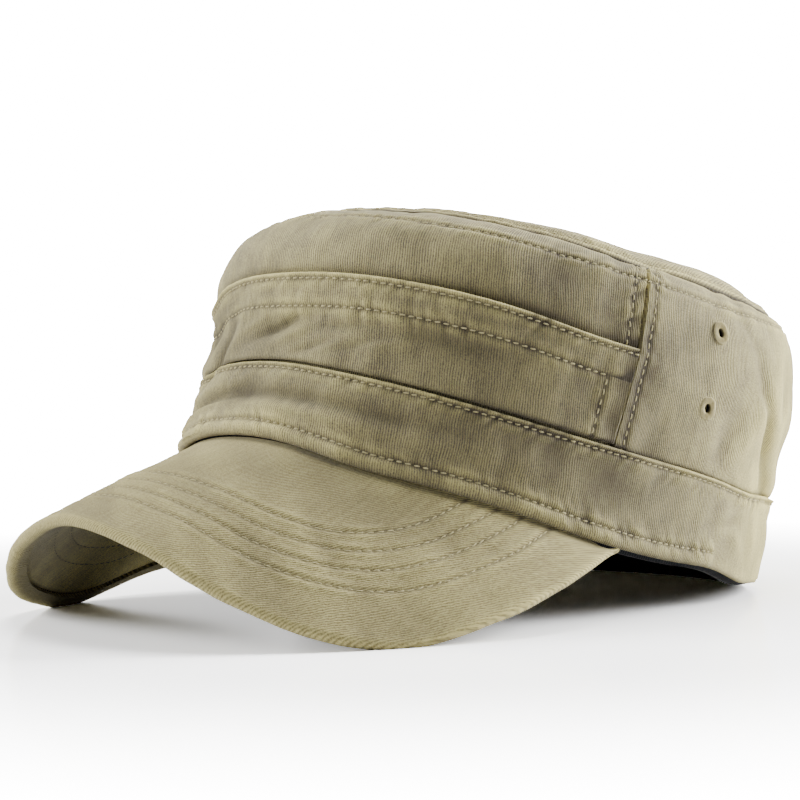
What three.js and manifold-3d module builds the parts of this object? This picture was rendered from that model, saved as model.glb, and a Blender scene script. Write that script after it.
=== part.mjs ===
// Patrol cap in washed cotton twill, flat topped, with a curved peak.
// Millimetres, +Z up, wearer's front at -Y, wearer's left at +X, floor at Z = 0.
// The cap is worked out upright in its own head frame, then tipped back to rest
// on the two lobes of its peak and on the back of its band. The origin ends up on
// the floor, at the middle of the cap's footprint.
import * as THREE from 'three';
import { mergeVertices } from 'three/addons/utils/BufferGeometryUtils.js';
import Module from 'manifold-3d';

// Crown: ovals measured on the outer face of the crown panels.
const HALF_LENGTH = 102;
const HALF_WIDTH = 80;
const OVAL_POWER = 2.25;
const CROWN_HEIGHT = 85.5;
const OVERLAY_TOP = 55.5;
const BAND_HEIGHT = 26.5;
const HEM_ARCH = 6.5;
const SHOULDER_POWER = 2.45;
const SHOULDER_SWEEP_DEG = 80;
const SIDE_SEAM_DEG = 78;

// Cloth, folded cloth and the clear space between pieces.
const PANEL_WALL = 1.6;
const OVERLAY_WALL = 1.5;
const BAND_WALL = 2;
const SWEATBAND_WALL = 1.3;
const GAP = 0.3;
const SWEATBAND_SHOW = 1.4;

// Top panel: a rolled edge that stands above the seam, then a shallow dome.
const TOP_ROLL_FRONT = 2.6;
const TOP_ROLL_BACK = 5.6;
const TOP_ROLL_REACH = 9;
const TOP_DOME = 2.4;

// Peak.
const PEAK_HALF_WIDTH = 92;
const PEAK_FORWARD = 148;
const PEAK_DROP = 49;
const PEAK_END_DEG = 82.5;
const PEAK_WALL = 1.5;
const LINING_WALL = 1.2;
const PEAK_ROLL_RADIUS = 2.1;
const PEAK_WRAP = 4;
const PEAK_SEAM_DROP = 1.9;
const PEAK_TUCK = 1.6;
const PEAK_SWELL = 1.5;
const PEAK_END_TAPER = 0.5;

// Embroidered eyelets on the side panels.
const EYELET_RADIUS = 4.7;
const EYELET_BORE = 1.6;
const EYELET_BARREL = 0.9;
const EYELET_RAISE = 1.1;
const EYELET_DEG = 94.5;
const EYELET_HEIGHTS = { lower: 43.5, upper: 68 };

// How far cloth is pressed flat where it meets the floor.
const FLOOR_PRESS = 0.8;

// Mesh steps: across the front panel and each side panel, then up each section, so
// that the layers of the wall share their facets.
const FRONT_STEPS = 28;
const SIDE_STEPS = 18;
const BAND_ROWS = 4;
const OVERLAY_ROWS = 4;
const SHOULDER_ROWS = 5;
const PEAK_STEPS = 40;
const PEAK_ROWS = 4;
const ROLL_ROWS = 4;
const LINING_SHORT = 4;
const EYELET_STEPS = 10;

// Sections of the crown, hem to top seam. length and width are shares of the half
// length and half width, shift a share of the half length towards the back, and
// front, side and back shares of the hem's arch added to the section's height. lean
// turns the arch's front towards the wearer's left, in degrees.
const SECTIONS = [
  { height: 0, length: 1, width: 1, shift: -0.02, front: 1.2, side: -1, back: -0.1, lean: 0 },
  { height: BAND_HEIGHT, length: 0.975, width: 1.005, shift: 0, front: 0.8, side: -0.5, back: 0.2, lean: 0 },
  { height: OVERLAY_TOP, length: 0.98, width: 1.04, shift: 0.02, front: 0.95, side: -0.15, back: 0, lean: 11 },
  { height: CROWN_HEIGHT, length: 0.83, width: 0.92, shift: 0.062, front: 0.25, side: -0.4, back: 0.3, lean: 0 },
];

// Dents and folds of the washed crown. turn is in degrees from the front towards the
// wearer's left, level counts sections from the hem, wide and tall are spreads in
// degrees and sections, lean tilts a fold, and depth is a share of DENT_DEPTH.
const DENT_DEPTH = 3;
const DENTS = [
  { turn: -55, level: 1.86, wide: 20, tall: 0.12, lean: 0, depth: 0.35 },
  { turn: -20, level: 1.5, wide: 8, tall: 0.3, lean: 14, depth: 0.55 },
  { turn: 4, level: 1.45, wide: 12, tall: 0.22, lean: 18, depth: 0.45 },
  { turn: -12, level: 0.5, wide: 16, tall: 0.2, lean: 10, depth: 0.6 },
  { turn: 122, level: 1.2, wide: 7, tall: 0.5, lean: -6, depth: 0.6 },
  { turn: -35, level: 2.3, wide: 50, tall: 0.38, lean: 0, depth: -1 },
  { turn: 145, level: 1.9, wide: 45, tall: 0.6, lean: 0, depth: -0.6 },
  { turn: -62, level: 2.75, wide: 35, tall: 0.35, lean: 0, depth: 0.8 },
  { turn: -100, level: 1.4, wide: 16, tall: 0.4, lean: 8, depth: 0.5 },
  { turn: 165, level: 1.7, wide: 20, tall: 0.35, lean: 0, depth: 0.5 },
];

// Half of the peak's rim, centre to end. joint is a share of PEAK_END_DEG on the hem,
// side a share of the half width, forward of the forward length, drop of the drop.
const RIM = [
  { joint: 0, side: 0, forward: 1, drop: 0.545 },
  { joint: 0.163, side: 0.326, forward: 0.957, drop: 0.65 },
  { joint: 0.314, side: 0.56, forward: 0.866, drop: 0.85 },
  { joint: 0.465, side: 0.76, forward: 0.728, drop: 0.995 },
  { joint: 0.605, side: 0.908, forward: 0.557, drop: 0.98 },
  { joint: 0.744, side: 0.98, forward: 0.354, drop: 0.68 },
  { joint: 0.837, side: 0.975, forward: 0.216, drop: 0.4 },
  { joint: 0.919, side: 0.935, forward: 0.1, drop: 0.2 },
  { joint: 1, side: 0.9, forward: 0, drop: 0.155 },
];
const PEAK_BACK_Y = -16;
const WHOLE_RIM = [
  ...RIM.slice(1).reverse().map((row) => ({ ...row, joint: -row.joint, side: -row.side })),
  ...RIM,
];

const DEG = Math.PI / 180;
const wasm = await Module();
wasm.setup();

// Catmull-Rom value of one named column at a fractional row.
function columnAt(rows, name, row) {
  const last = rows.length - 1;
  const i = Math.min(Math.max(Math.floor(row), 0), last - 1);
  const f = row - i;
  const value = (k) => rows[Math.min(Math.max(k, 0), last)][name];
  const [a, b, c, d] = [value(i - 1), value(i), value(i + 1), value(i + 2)];
  return 0.5 * (2 * b + (c - a) * f + (2 * a - 5 * b + 4 * c - d) * f * f + (3 * b - a - 3 * c + d) * f ** 3);
}

// Superellipse point: 0 is the front centre, 90 degrees the wearer's left.
function ovalPoint(halfLength, halfWidth, shift, turn) {
  const s = Math.sin(turn);
  const c = Math.cos(turn);
  const k = 2 / OVAL_POWER;
  return {
    x: halfWidth * Math.sign(s) * Math.abs(s) ** k,
    y: shift - halfLength * Math.sign(c) * Math.abs(c) ** k,
  };
}

function dentAt(turn, level) {
  let depth = 0;
  for (const dent of DENTS) {
    const across = Math.atan2(Math.sin(turn - dent.turn * DEG), Math.cos(turn - dent.turn * DEG)) / DEG;
    const up = level - dent.level;
    const u = (across - dent.lean * up) / dent.wide;
    const v = up / dent.tall;
    depth += dent.depth * DENT_DEPTH * Math.exp(-u * u - v * v);
  }
  return depth;
}

// Named height of a section line at a turn.
function sectionHeight(index, turn) {
  const row = SECTIONS[index];
  const end = Math.cos(turn - row.lean * DEG) > 0 ? row.front : row.back;
  return row.height + HEM_ARCH * (row.side + (end - row.side) * Math.cos(turn - row.lean * DEG) ** 2);
}

// Outer face of the crown panels in the head frame. level runs 0 at the hem, 1 at the
// band's top, 2 at the overlay's top and 3 at the top seam. Above 2 the wall rounds
// inward as a superellipse shoulder.
function crownFace(turn, level) {
  const lower = Math.min(Math.floor(level), 2);
  const f = level - lower;
  let rise = f;
  let row = level;
  if (lower === 2) {
    const sweep = SHOULDER_SWEEP_DEG * DEG;
    const k = 2 / SHOULDER_POWER;
    rise = Math.sin(f * sweep) ** k / Math.sin(sweep) ** k;
    row = 2 + (1 - Math.cos(f * sweep) ** k) / (1 - Math.cos(sweep) ** k);
  }
  const share = (name) => (row > 2
    ? SECTIONS[2][name] + (row - 2) * (SECTIONS[3][name] - SECTIONS[2][name])
    : columnAt(SECTIONS.slice(0, 3), name, row));
  const dent = dentAt(turn, level);
  const at = ovalPoint(
    share('length') * HALF_LENGTH - dent,
    share('width') * HALF_WIDTH - dent,
    share('shift') * HALF_LENGTH,
    turn,
  );
  const z0 = sectionHeight(lower, turn);
  const z1 = sectionHeight(lower + 1, turn);
  return new THREE.Vector3(at.x, at.y, z0 + (z1 - z0) * rise);
}

// Unit normal of a surface by differences, where across and along turn outwards.
function normalOf(surface, u, v, stepU, stepV) {
  const across = surface(u + stepU, v).sub(surface(u - stepU, v));
  const along = surface(u, v + stepV).sub(surface(u, v - stepV));
  return across.cross(along).normalize();
}

// Point at a distance outside the crown's outer face, which levels run up to 3.
function crownPoint(turn, level, out) {
  const inside = Math.min(Math.max(level, 0.02), 2.98);
  const normal = normalOf(crownFace, turn, inside, 0.02, 0.02);
  return crownFace(turn, level).addScaledVector(normal, out);
}

// Level at which the crown's face reaches a height.
function levelAt(turn, height) {
  let low = 0;
  let high = 3;
  for (let i = 0; i < 30; i += 1) {
    const middle = (low + high) / 2;
    if (crownFace(turn, middle).z < height) low = middle;
    else high = middle;
  }
  return (low + high) / 2;
}

// Height of a head frame point once the cap is tipped back about X.
function tippedHeight(point, tip) {
  return point.z * Math.cos(tip) - point.y * Math.sin(tip);
}

// How the cap stands by itself: tipped back until the lobes of its peak and the back
// of its band reach down equally far, then lifted to press lightly on the floor.
function standOf() {
  const peak = spread(0, 1, PEAK_STEPS / 2).flatMap((along) => coverSection(along, 0));
  const hem = LEFT_TURNS.map((turn) => crownPoint(turn * DEG, 0, GAP + BAND_WALL));
  const lowest = (points, tip) => Math.min(...points.map((point) => tippedHeight(point, tip)));
  let low = 0;
  let high = 45 * DEG;
  for (let i = 0; i < 30; i += 1) {
    const tip = (low + high) / 2;
    if (lowest(hem, tip) > lowest(peak, tip)) low = tip;
    else high = tip;
  }
  return { tip: low, lift: -lowest(peak, low) - FLOOR_PRESS };
}

// Head frame to rest, with nothing below the given height.
function toRest(point, least = 0) {
  const y = point.y * Math.cos(STAND.tip) + point.z * Math.sin(STAND.tip);
  const z = tippedHeight(point, STAND.tip) + STAND.lift;
  return new THREE.Vector3(point.x, y, Math.max(z, least));
}

// Cloth sheet between an outer and an inner skin, each a function of a step across and
// a step along. A loop closes on itself across, and a sheet has two end faces instead.
function clothSheet(outer, inner, across, along, isLoop) {
  const columns = isLoop ? across : across + 1;
  const points = [];
  for (const skin of [outer, inner]) {
    for (let i = 0; i < columns; i += 1) {
      for (let j = 0; j <= along; j += 1) points.push(skin(i, j));
    }
  }
  const at = (skin, i, j) => (skin * columns + (i % columns)) * (along + 1) + j;
  const faces = [];
  const quad = (a, b, c, d) => faces.push(a, b, c, a, c, d);
  for (let i = 0; i < across; i += 1) {
    for (let j = 0; j < along; j += 1) {
      quad(at(0, i, j), at(0, i + 1, j), at(0, i + 1, j + 1), at(0, i, j + 1));
      quad(at(1, i, j), at(1, i, j + 1), at(1, i + 1, j + 1), at(1, i + 1, j));
    }
    quad(at(0, i, 0), at(1, i, 0), at(1, i + 1, 0), at(0, i + 1, 0));
    quad(at(0, i, along), at(0, i + 1, along), at(1, i + 1, along), at(1, i, along));
  }
  for (let j = 0; j < along && !isLoop; j += 1) {
    quad(at(0, 0, j), at(0, 0, j + 1), at(1, 0, j + 1), at(1, 0, j));
    quad(at(0, across, j), at(1, across, j), at(1, across, j + 1), at(0, across, j + 1));
  }
  return indexed(points, faces);
}

function indexed(points, faces) {
  const geometry = new THREE.BufferGeometry();
  geometry.setAttribute('position', new THREE.Float32BufferAttribute(points.flatMap((p) => p.toArray()), 3));
  geometry.setIndex(faces);
  return geometry;
}

// Evenly spaced values from one to another, both included.
function spread(from, to, steps) {
  return Array.from({ length: steps + 1 }, (_, i) => from + ((to - from) * i) / steps);
}

// Turns in degrees of each panel's facets, and of the whole way round.
const FRONT_TURNS = spread(-SIDE_SEAM_DEG, SIDE_SEAM_DEG, FRONT_STEPS);
const LEFT_TURNS = spread(SIDE_SEAM_DEG, 180, SIDE_STEPS);
const RIGHT_TURNS = spread(-180, -SIDE_SEAM_DEG, SIDE_STEPS);
const ROUND_TURNS = [...FRONT_TURNS, ...LEFT_TURNS.slice(1), ...RIGHT_TURNS.slice(1, -1)];

// Levels of the wall's facets. The panels start one row up, inside the band.
const BAND_LEVELS = spread(0, 1, BAND_ROWS);
const OVERLAY_LEVELS = spread(1, 2, OVERLAY_ROWS);
const SHOULDER_LEVELS = spread(2, 3, SHOULDER_ROWS);
const PANEL_LEVELS = [...BAND_LEVELS.slice(1), ...OVERLAY_LEVELS.slice(1), ...SHOULDER_LEVELS.slice(1)];

// Layer of the crown's wall between two distances from the panels' outer face.
function crownLayer(turns, levels, inner, outer) {
  const isLoop = turns.length === ROUND_TURNS.length;
  const skin = (out) => (i, j) => toRest(crownPoint(turns[i] * DEG, levels[j], out));
  const across = isLoop ? turns.length : turns.length - 1;
  return clothSheet(skin(outer), skin(inner), across, levels.length - 1, isLoop);
}

// The same turns with both ends drawn in by a width along the wall.
function drawnIn(turns, width) {
  const last = turns.length - 1;
  const inset = (turn) => width / (crownFace((turn + 0.5) * DEG, 2).distanceTo(crownFace((turn - 0.5) * DEG, 2)));
  return turns.map((turn, i) => {
    if (i === 0) return turn + inset(turn);
    return i === last ? turn - inset(turn) : turn;
  });
}

function frontPanel() {
  return crownLayer(drawnIn(FRONT_TURNS, GAP / 2), PANEL_LEVELS, -PANEL_WALL, 0);
}

function frontOverlay() {
  const clear = levelAt(0, sectionHeight(1, 0) + 2 * GAP);
  const levels = [clear, ...OVERLAY_LEVELS.slice(1)];
  return crownLayer(drawnIn(FRONT_TURNS, GAP / 2), levels, GAP, GAP + OVERLAY_WALL);
}

function sidePanel(side) {
  const turns = side > 0 ? LEFT_TURNS : RIGHT_TURNS;
  const wall = crownLayer(drawnIn(turns, GAP / 2), PANEL_LEVELS, -PANEL_WALL, 0);
  const holes = Object.values(EYELET_HEIGHTS).map((height) => {
    const bore = EYELET_BORE + EYELET_BARREL + GAP;
    const drill = new THREE.CylinderGeometry(bore, bore, 6 * PANEL_WALL, EYELET_STEPS);
    drill.applyMatrix4(eyeletPlace(side, height));
    return drill;
  });
  return cutAway(wall, holes);
}

function band() {
  return crownLayer(ROUND_TURNS, BAND_LEVELS, GAP, GAP + BAND_WALL);
}

// The sweatband lies against the inside of the panels and hangs just below the band.
function sweatband() {
  const outer = -PANEL_WALL - GAP;
  const skin = (out) => (i, j) => {
    const turn = ROUND_TURNS[i] * DEG;
    const point = crownPoint(turn, BAND_LEVELS[j], out);
    if (j === 0) point.z = sectionHeight(0, turn) - SWEATBAND_SHOW;
    return toRest(point);
  };
  return clothSheet(skin(outer), skin(outer - SWEATBAND_WALL), ROUND_TURNS.length, BAND_ROWS, true);
}

// Upper face of the top panel. share runs 1 at the seam to 0 at the middle.
function topFace(turn, share) {
  const edge = crownFace(turn, 3);
  const middle = SECTIONS[3].shift * HALF_LENGTH;
  const radius = Math.hypot(edge.x, edge.y - middle);
  const scale = share * (1 - GAP / radius);
  const inward = Math.min((1 - share) * radius / TOP_ROLL_REACH, 1);
  const height = TOP_ROLL_BACK + (TOP_ROLL_FRONT - TOP_ROLL_BACK) * (0.5 + 0.5 * Math.cos(turn));
  const roll = height * (1 - (1 - inward) ** 2.4);
  const flat = SECTIONS[3].height;
  const z = flat + (edge.z - flat) * share + roll + TOP_DOME * (1 - share * share);
  return new THREE.Vector3(edge.x * scale, middle + (edge.y - middle) * scale, z);
}

function topPanel() {
  const rings = [1, 0.97, 0.92, 0.8, 0.45];
  const around = ROUND_TURNS.length;
  const points = [];
  for (const depth of [0, PANEL_WALL]) {
    for (const share of rings) {
      for (let i = 0; i < around; i += 1) {
        const turn = ROUND_TURNS[i] * DEG;
        const normal = normalOf(topFace, turn, Math.min(share, 0.985), 0.02, -0.01);
        points.push(toRest(topFace(turn, share).addScaledVector(normal, -depth)));
      }
    }
    const crest = topFace(0, 0);
    crest.z -= depth;
    points.push(toRest(crest));
  }
  const perSkin = rings.length * around + 1;
  const at = (skin, ring, i) => skin * perSkin + ring * around + (i % around);
  const faces = [];
  for (let i = 0; i < around; i += 1) {
    for (let r = 0; r + 1 < rings.length; r += 1) {
      const [a, b, c, d] = [at(0, r, i), at(0, r, i + 1), at(0, r + 1, i + 1), at(0, r + 1, i)];
      faces.push(a, b, c, a, c, d);
      faces.push(perSkin + a, perSkin + c, perSkin + b, perSkin + a, perSkin + d, perSkin + c);
    }
    const inmost = rings.length - 1;
    faces.push(at(0, inmost, i), at(0, inmost, i + 1), perSkin - 1);
    faces.push(at(1, inmost, i + 1), at(1, inmost, i), 2 * perSkin - 1);
    faces.push(at(0, 0, i + 1), at(0, 0, i), at(1, 0, i), at(0, 0, i + 1), at(1, 0, i), at(1, 0, i + 1));
  }
  return indexed(points, faces);
}

// One ruling of the peak, in the head frame: from its seam on the hem to its rim.
function ruling(along) {
  const row = (along + 1) * (RIM.length - 1);
  const turn = columnAt(WHOLE_RIM, 'joint', row) * PEAK_END_DEG * DEG;
  const seam = crownPoint(turn, 0, GAP + BAND_WALL / 2);
  seam.z = sectionHeight(0, turn) - PEAK_SEAM_DROP;
  const rim = new THREE.Vector3(
    columnAt(WHOLE_RIM, 'side', row) * PEAK_HALF_WIDTH,
    PEAK_BACK_Y - columnAt(WHOLE_RIM, 'forward', row) * PEAK_FORWARD,
    -columnAt(WHOLE_RIM, 'drop', row) * PEAK_DROP,
  );
  return { seam, rim };
}

// Upper face of the peak at a distance out from its seam, swelled between the ends.
function peakFace(along, distance) {
  const { seam, rim } = ruling(along);
  const length = seam.distanceTo(rim);
  const f = Math.min(Math.max(distance / length, 0), 1);
  const point = seam.clone().addScaledVector(rim.clone().sub(seam), distance / length);
  point.z += PEAK_SWELL * 4 * f * (1 - f) * Math.min(length / PEAK_DROP, 1);
  return point;
}

function peakLength(along) {
  const { seam, rim } = ruling(along);
  return seam.distanceTo(rim);
}

// Share of the full thickness that the peak keeps towards its two sewn-in ends.
function endShare(along) {
  return 1 - PEAK_END_TAPER * Math.abs(along) ** 10;
}

function peakNormal(along, distance) {
  const inside = Math.min(Math.max(along, -0.99), 0.99);
  return normalOf(peakFace, inside, distance, 0.008, -0.5).normalize();
}

// Distances out from the seam of the facets that the cover and the lining share. The
// lining ends inside the cover's turned edge.
function peakRows(along) {
  const straight = peakLength(along) - PEAK_ROLL_RADIUS * endShare(along);
  const end = Math.max(straight - PEAK_WRAP - GAP, straight / 2);
  return { shared: spread(0, end, PEAK_ROWS), straight };
}

// Section of the peak's cover, fullDepth inside its outer skin: out along the top,
// round the rolled rim and back underneath.
function coverSection(along, fullDepth) {
  const depth = fullDepth * endShare(along);
  const outer = PEAK_ROLL_RADIUS * endShare(along);
  const { shared, straight } = peakRows(along);
  const top = [-PEAK_TUCK, ...shared, straight].map((distance) => (
    peakFace(along, distance).addScaledVector(peakNormal(along, Math.max(distance, 0)), -depth)));
  const normal = peakNormal(along, straight);
  const out = peakFace(along, straight + 1).sub(peakFace(along, straight)).normalize();
  const centre = peakFace(along, straight).addScaledVector(normal, -outer);
  const radius = outer - depth;
  const roll = spread(0, Math.PI, ROLL_ROWS).slice(1).map((angle) => (
    centre.clone().addScaledVector(out, Math.sin(angle) * radius)
      .addScaledVector(normal, Math.cos(angle) * radius)));
  const wrap = Math.min(PEAK_WRAP, straight + PEAK_TUCK / 2);
  const turned = centre.clone().addScaledVector(out, -wrap).addScaledVector(normal, -radius);
  return [...top, ...roll, turned];
}

function peakCover() {
  const skin = (depth, least) => {
    const sections = spread(1, -1, PEAK_STEPS).map((along) => coverSection(along, depth));
    return (i, j) => toRest(sections[i][j], least);
  };
  const rows = coverSection(0, 0).length - 1;
  return clothSheet(skin(0, 0), skin(PEAK_WALL, PEAK_WALL / 2), PEAK_STEPS, rows, false);
}

// The lining fills the underside inside the cover's turned edge, and stops short of
// the peak's narrow ends.
function peakLining() {
  const top = PEAK_WALL + GAP;
  const alongs = spread(1, -1, PEAK_STEPS).slice(LINING_SHORT, -LINING_SHORT);
  const skin = (depth) => {
    const sections = alongs.map((along) => peakRows(along).shared.map((distance) => (
      peakFace(along, distance).addScaledVector(peakNormal(along, distance), -depth))));
    return (i, j) => toRest(sections[i][j]);
  };
  return clothSheet(skin(top), skin(top + LINING_WALL), alongs.length - 1, PEAK_ROWS, false);
}

// Frame of an eyelet on a side panel: Y along the panel's outward normal.
function eyeletPlace(side, height) {
  const turn = side * EYELET_DEG * DEG;
  const level = levelAt(turn, height);
  const base = toRest(crownPoint(turn, level, 0));
  const outward = toRest(crownPoint(turn, level, 1)).sub(base).normalize();
  const turned = new THREE.Quaternion().setFromUnitVectors(new THREE.Vector3(0, 1, 0), outward);
  return new THREE.Matrix4().compose(base, turned, new THREE.Vector3(1, 1, 1));
}

// Embroidered ring: a rounded flange outside the panel and a barrel through its hole.
function eyelet(side, height) {
  const barrel = EYELET_BORE + EYELET_BARREL;
  const seat = GAP + 0.15;
  const profile = [
    [EYELET_BORE, -PANEL_WALL],
    [barrel, -PANEL_WALL],
    [barrel, seat],
    [EYELET_RADIUS, seat],
    [EYELET_RADIUS, seat + EYELET_RAISE * 0.45],
    [EYELET_RADIUS - 1, seat + EYELET_RAISE * 0.9],
    [barrel + 0.2, seat + EYELET_RAISE],
    [EYELET_BORE, seat + EYELET_RAISE * 0.5],
    [EYELET_BORE, -PANEL_WALL],
  ].map(([radius, up]) => new THREE.Vector2(radius, up));
  const ring = new THREE.LatheGeometry(profile, EYELET_STEPS);
  ring.applyMatrix4(eyeletPlace(side, height));
  return ring;
}

// Closed mesh to solid, with its shared corners merged.
function toSolid(geometry) {
  const bare = geometry.clone();
  bare.deleteAttribute('normal');
  bare.deleteAttribute('uv');
  const merged = mergeVertices(bare, 1e-4);
  return new wasm.Manifold(new wasm.Mesh({
    numProp: 3,
    vertProperties: new Float32Array(merged.attributes.position.array),
    triVerts: new Uint32Array(merged.index.array),
  }));
}

function cutAway(geometry, cutters) {
  let solid = toSolid(geometry);
  for (const cutter of cutters) solid = solid.subtract(toSolid(cutter));
  const mesh = solid.getMesh();
  const result = new THREE.BufferGeometry();
  result.setAttribute('position', new THREE.BufferAttribute(new Float32Array(mesh.vertProperties), 3));
  result.setIndex(new THREE.BufferAttribute(new Uint32Array(mesh.triVerts), 1));
  return result;
}

const STAND = standOf();

const twill = { color: 0xa3977a, roughness: 0.93, metalness: 0 };
const liningTwill = { color: 0x8c8268, roughness: 0.95, metalness: 0 };
const navyTape = { color: 0x1d2026, roughness: 0.9, metalness: 0 };
const thread = { color: 0xb3a787, roughness: 0.85, metalness: 0 };

const cap = new THREE.Group();
function addPiece(name, geometry, look) {
  geometry.computeVertexNormals();
  const mesh = new THREE.Mesh(geometry, new THREE.MeshStandardMaterial(look));
  mesh.name = name;
  cap.add(mesh);
}

addPiece('top_panel', topPanel(), twill);
addPiece('front_panel', frontPanel(), twill);
addPiece('front_overlay', frontOverlay(), twill);
addPiece('band', band(), twill);
addPiece('sweatband', sweatband(), navyTape);
addPiece('peak_cover', peakCover(), twill);
addPiece('peak_lining', peakLining(), liningTwill);
for (const [sideName, side] of [['left', 1], ['right', -1]]) {
  addPiece(`side_panel_${sideName}`, sidePanel(side), twill);
  for (const [place, height] of Object.entries(EYELET_HEIGHTS)) {
    addPiece(`eyelet_${sideName}_${place}`, eyelet(side, height), thread);
  }
}

const middle = new THREE.Box3().setFromObject(cap).getCenter(new THREE.Vector3());
for (const mesh of cap.children) mesh.geometry.translate(-middle.x, -middle.y, 0);

export default cap;
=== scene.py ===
import math

import bpy
import numpy as np
from mathutils import Matrix, Vector


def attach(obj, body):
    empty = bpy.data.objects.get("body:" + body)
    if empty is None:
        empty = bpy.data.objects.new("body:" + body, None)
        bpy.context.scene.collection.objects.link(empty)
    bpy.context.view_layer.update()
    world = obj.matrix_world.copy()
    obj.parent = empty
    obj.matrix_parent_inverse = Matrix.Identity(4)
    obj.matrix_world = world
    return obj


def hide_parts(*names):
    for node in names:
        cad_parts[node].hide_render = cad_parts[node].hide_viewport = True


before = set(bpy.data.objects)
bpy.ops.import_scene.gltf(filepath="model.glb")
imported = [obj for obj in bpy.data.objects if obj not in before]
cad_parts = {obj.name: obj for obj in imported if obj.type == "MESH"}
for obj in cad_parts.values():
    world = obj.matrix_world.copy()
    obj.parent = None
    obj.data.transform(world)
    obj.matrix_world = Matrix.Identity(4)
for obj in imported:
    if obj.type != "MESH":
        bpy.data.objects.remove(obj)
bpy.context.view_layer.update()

# Sizes in millimetres, the same as the solids have.
HALF_LENGTH = 102
HALF_WIDTH = 80
OVAL_POWER = 2.25
HEM_ARCH = 6.5
SHOULDER_POWER = 2.45
SHOULDER_SWEEP = math.radians(80)
SIDE_SEAM = 78
PANEL_WALL = 1.6
OVERLAY_WALL = 1.5
BAND_WALL = 2.0
SWEATBAND_WALL = 1.3
GAP = 0.3
SWEATBAND_SHOW = 0.9
TOP_ROLL = {"front": 2.6, "side": 5.9, "back": 5.6}
TOP_ROLL_REACH = 9
TOP_DOME = 2.4
TOP_RADIUS = 80
TOP_SAG = 2.4
TOP_SAG_TURN = 130
HIDDEN_SINK = 1.0
THINNEST = 0.8
# The top's turned edge: outwards and down, twice on its upper skin and twice on its lower one.
TURNED_EDGE = ((3.2, 2.5), (-0.1, 2.4), (3.2, 3.3), (-0.4, 3.3))
PEAK_HALF_WIDTH = 92
PEAK_FORWARD = 148
PEAK_DROP = 49
PEAK_END = math.radians(82.5)
PEAK_BACK_Y = -16
PEAK_WALL = 1.5
LINING_WALL = 1.2
PEAK_ROLL = 2.1
PEAK_WRAP = 4
PEAK_SEAM_DROP = 0.9
PEAK_TUCK = 1.6
PEAK_SWELL = 0.9
PEAK_TAPER = 0.7
EYELET_TURN = 94.5
EYELET_HEIGHTS = {"lower": 43.5, "upper": 68}
EYELET_HOLE = 2.5
EYELET_REACH = 2.2 * EYELET_HOLE

# How the cap stands: tipped back, lifted, and moved back over its footprint.
TIP = math.radians(13.716861)
LIFT = 24.053574
BACK_SHIFT = 24.681454

# Crown sections, hem to top seam, one value per section.
SECTIONS = {
    "height": (0, 26.5, 55.5, 85.5),
    "length": (1, 0.975, 0.98, 0.83),
    "width": (1, 1.005, 1.04, 0.92),
    "shift": (-0.02, 0, 0.02, 0.062),
    "front": (1.2, 0.8, 0.95, 0.25),
    "side": (-1, -0.5, -0.15, -0.4),
    "back": (-0.1, 0.2, 0, 0.3),
    "lean": (0, 0, 11, 0),
}
SECTIONS = {name: np.array(row, float) for name, row in SECTIONS.items()}

# Dents of the crown: turn and lean in degrees, level and tall in sections, wide in
# degrees, depth as a share of DENT_DEPTH.
DENT_DEPTH = 3
DENTS = (
    (-55, 1.86, 20, 0.12, 0, 0.35),
    (-20, 1.5, 8, 0.3, 14, 0.55),
    (4, 1.45, 12, 0.22, 18, 0.45),
    (-12, 0.5, 16, 0.2, 10, 0.6),
    (122, 1.2, 7, 0.5, -6, 0.6),
    (-35, 2.3, 50, 0.38, 0, -1),
    (145, 1.9, 45, 0.6, 0, -0.6),
    (-62, 2.75, 35, 0.35, 0, 0.8),
    (-100, 1.4, 16, 0.4, 8, 0.5),
    (165, 1.7, 20, 0.35, 0, 0.5),
)

# How the section lines sag or lift: the same columns, with millimetres upwards.
LIFTS = (
    (0, 0, 14, 0.5, 0, 1.0),
    (30, 0, 13, 0.5, 0, -1.7),
    (62, 0, 14, 0.5, 0, 0.9),
    (104, 0, 9, 0.5, 0, 1.2),
    (119, 0, 9, 0.5, 0, -1.2),
    (0, 1, 16, 0.4, 0, 1.2),
    (-38, 1, 12, 0.5, 0, -2.0),
    (114, 1, 12, 0.5, 0, -1.5),
    (-36, 2, 14, 0.5, 0, -4.0),
    (70, 2, 14, 0.4, 0, -1.4),
    (-25, 3, 26, 0.6, 0, -2.4),
    (-18, 3, 14, 0.12, 0, 2.8),
    (76, 3, 10, 0.3, 0, -0.8),
)

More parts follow.
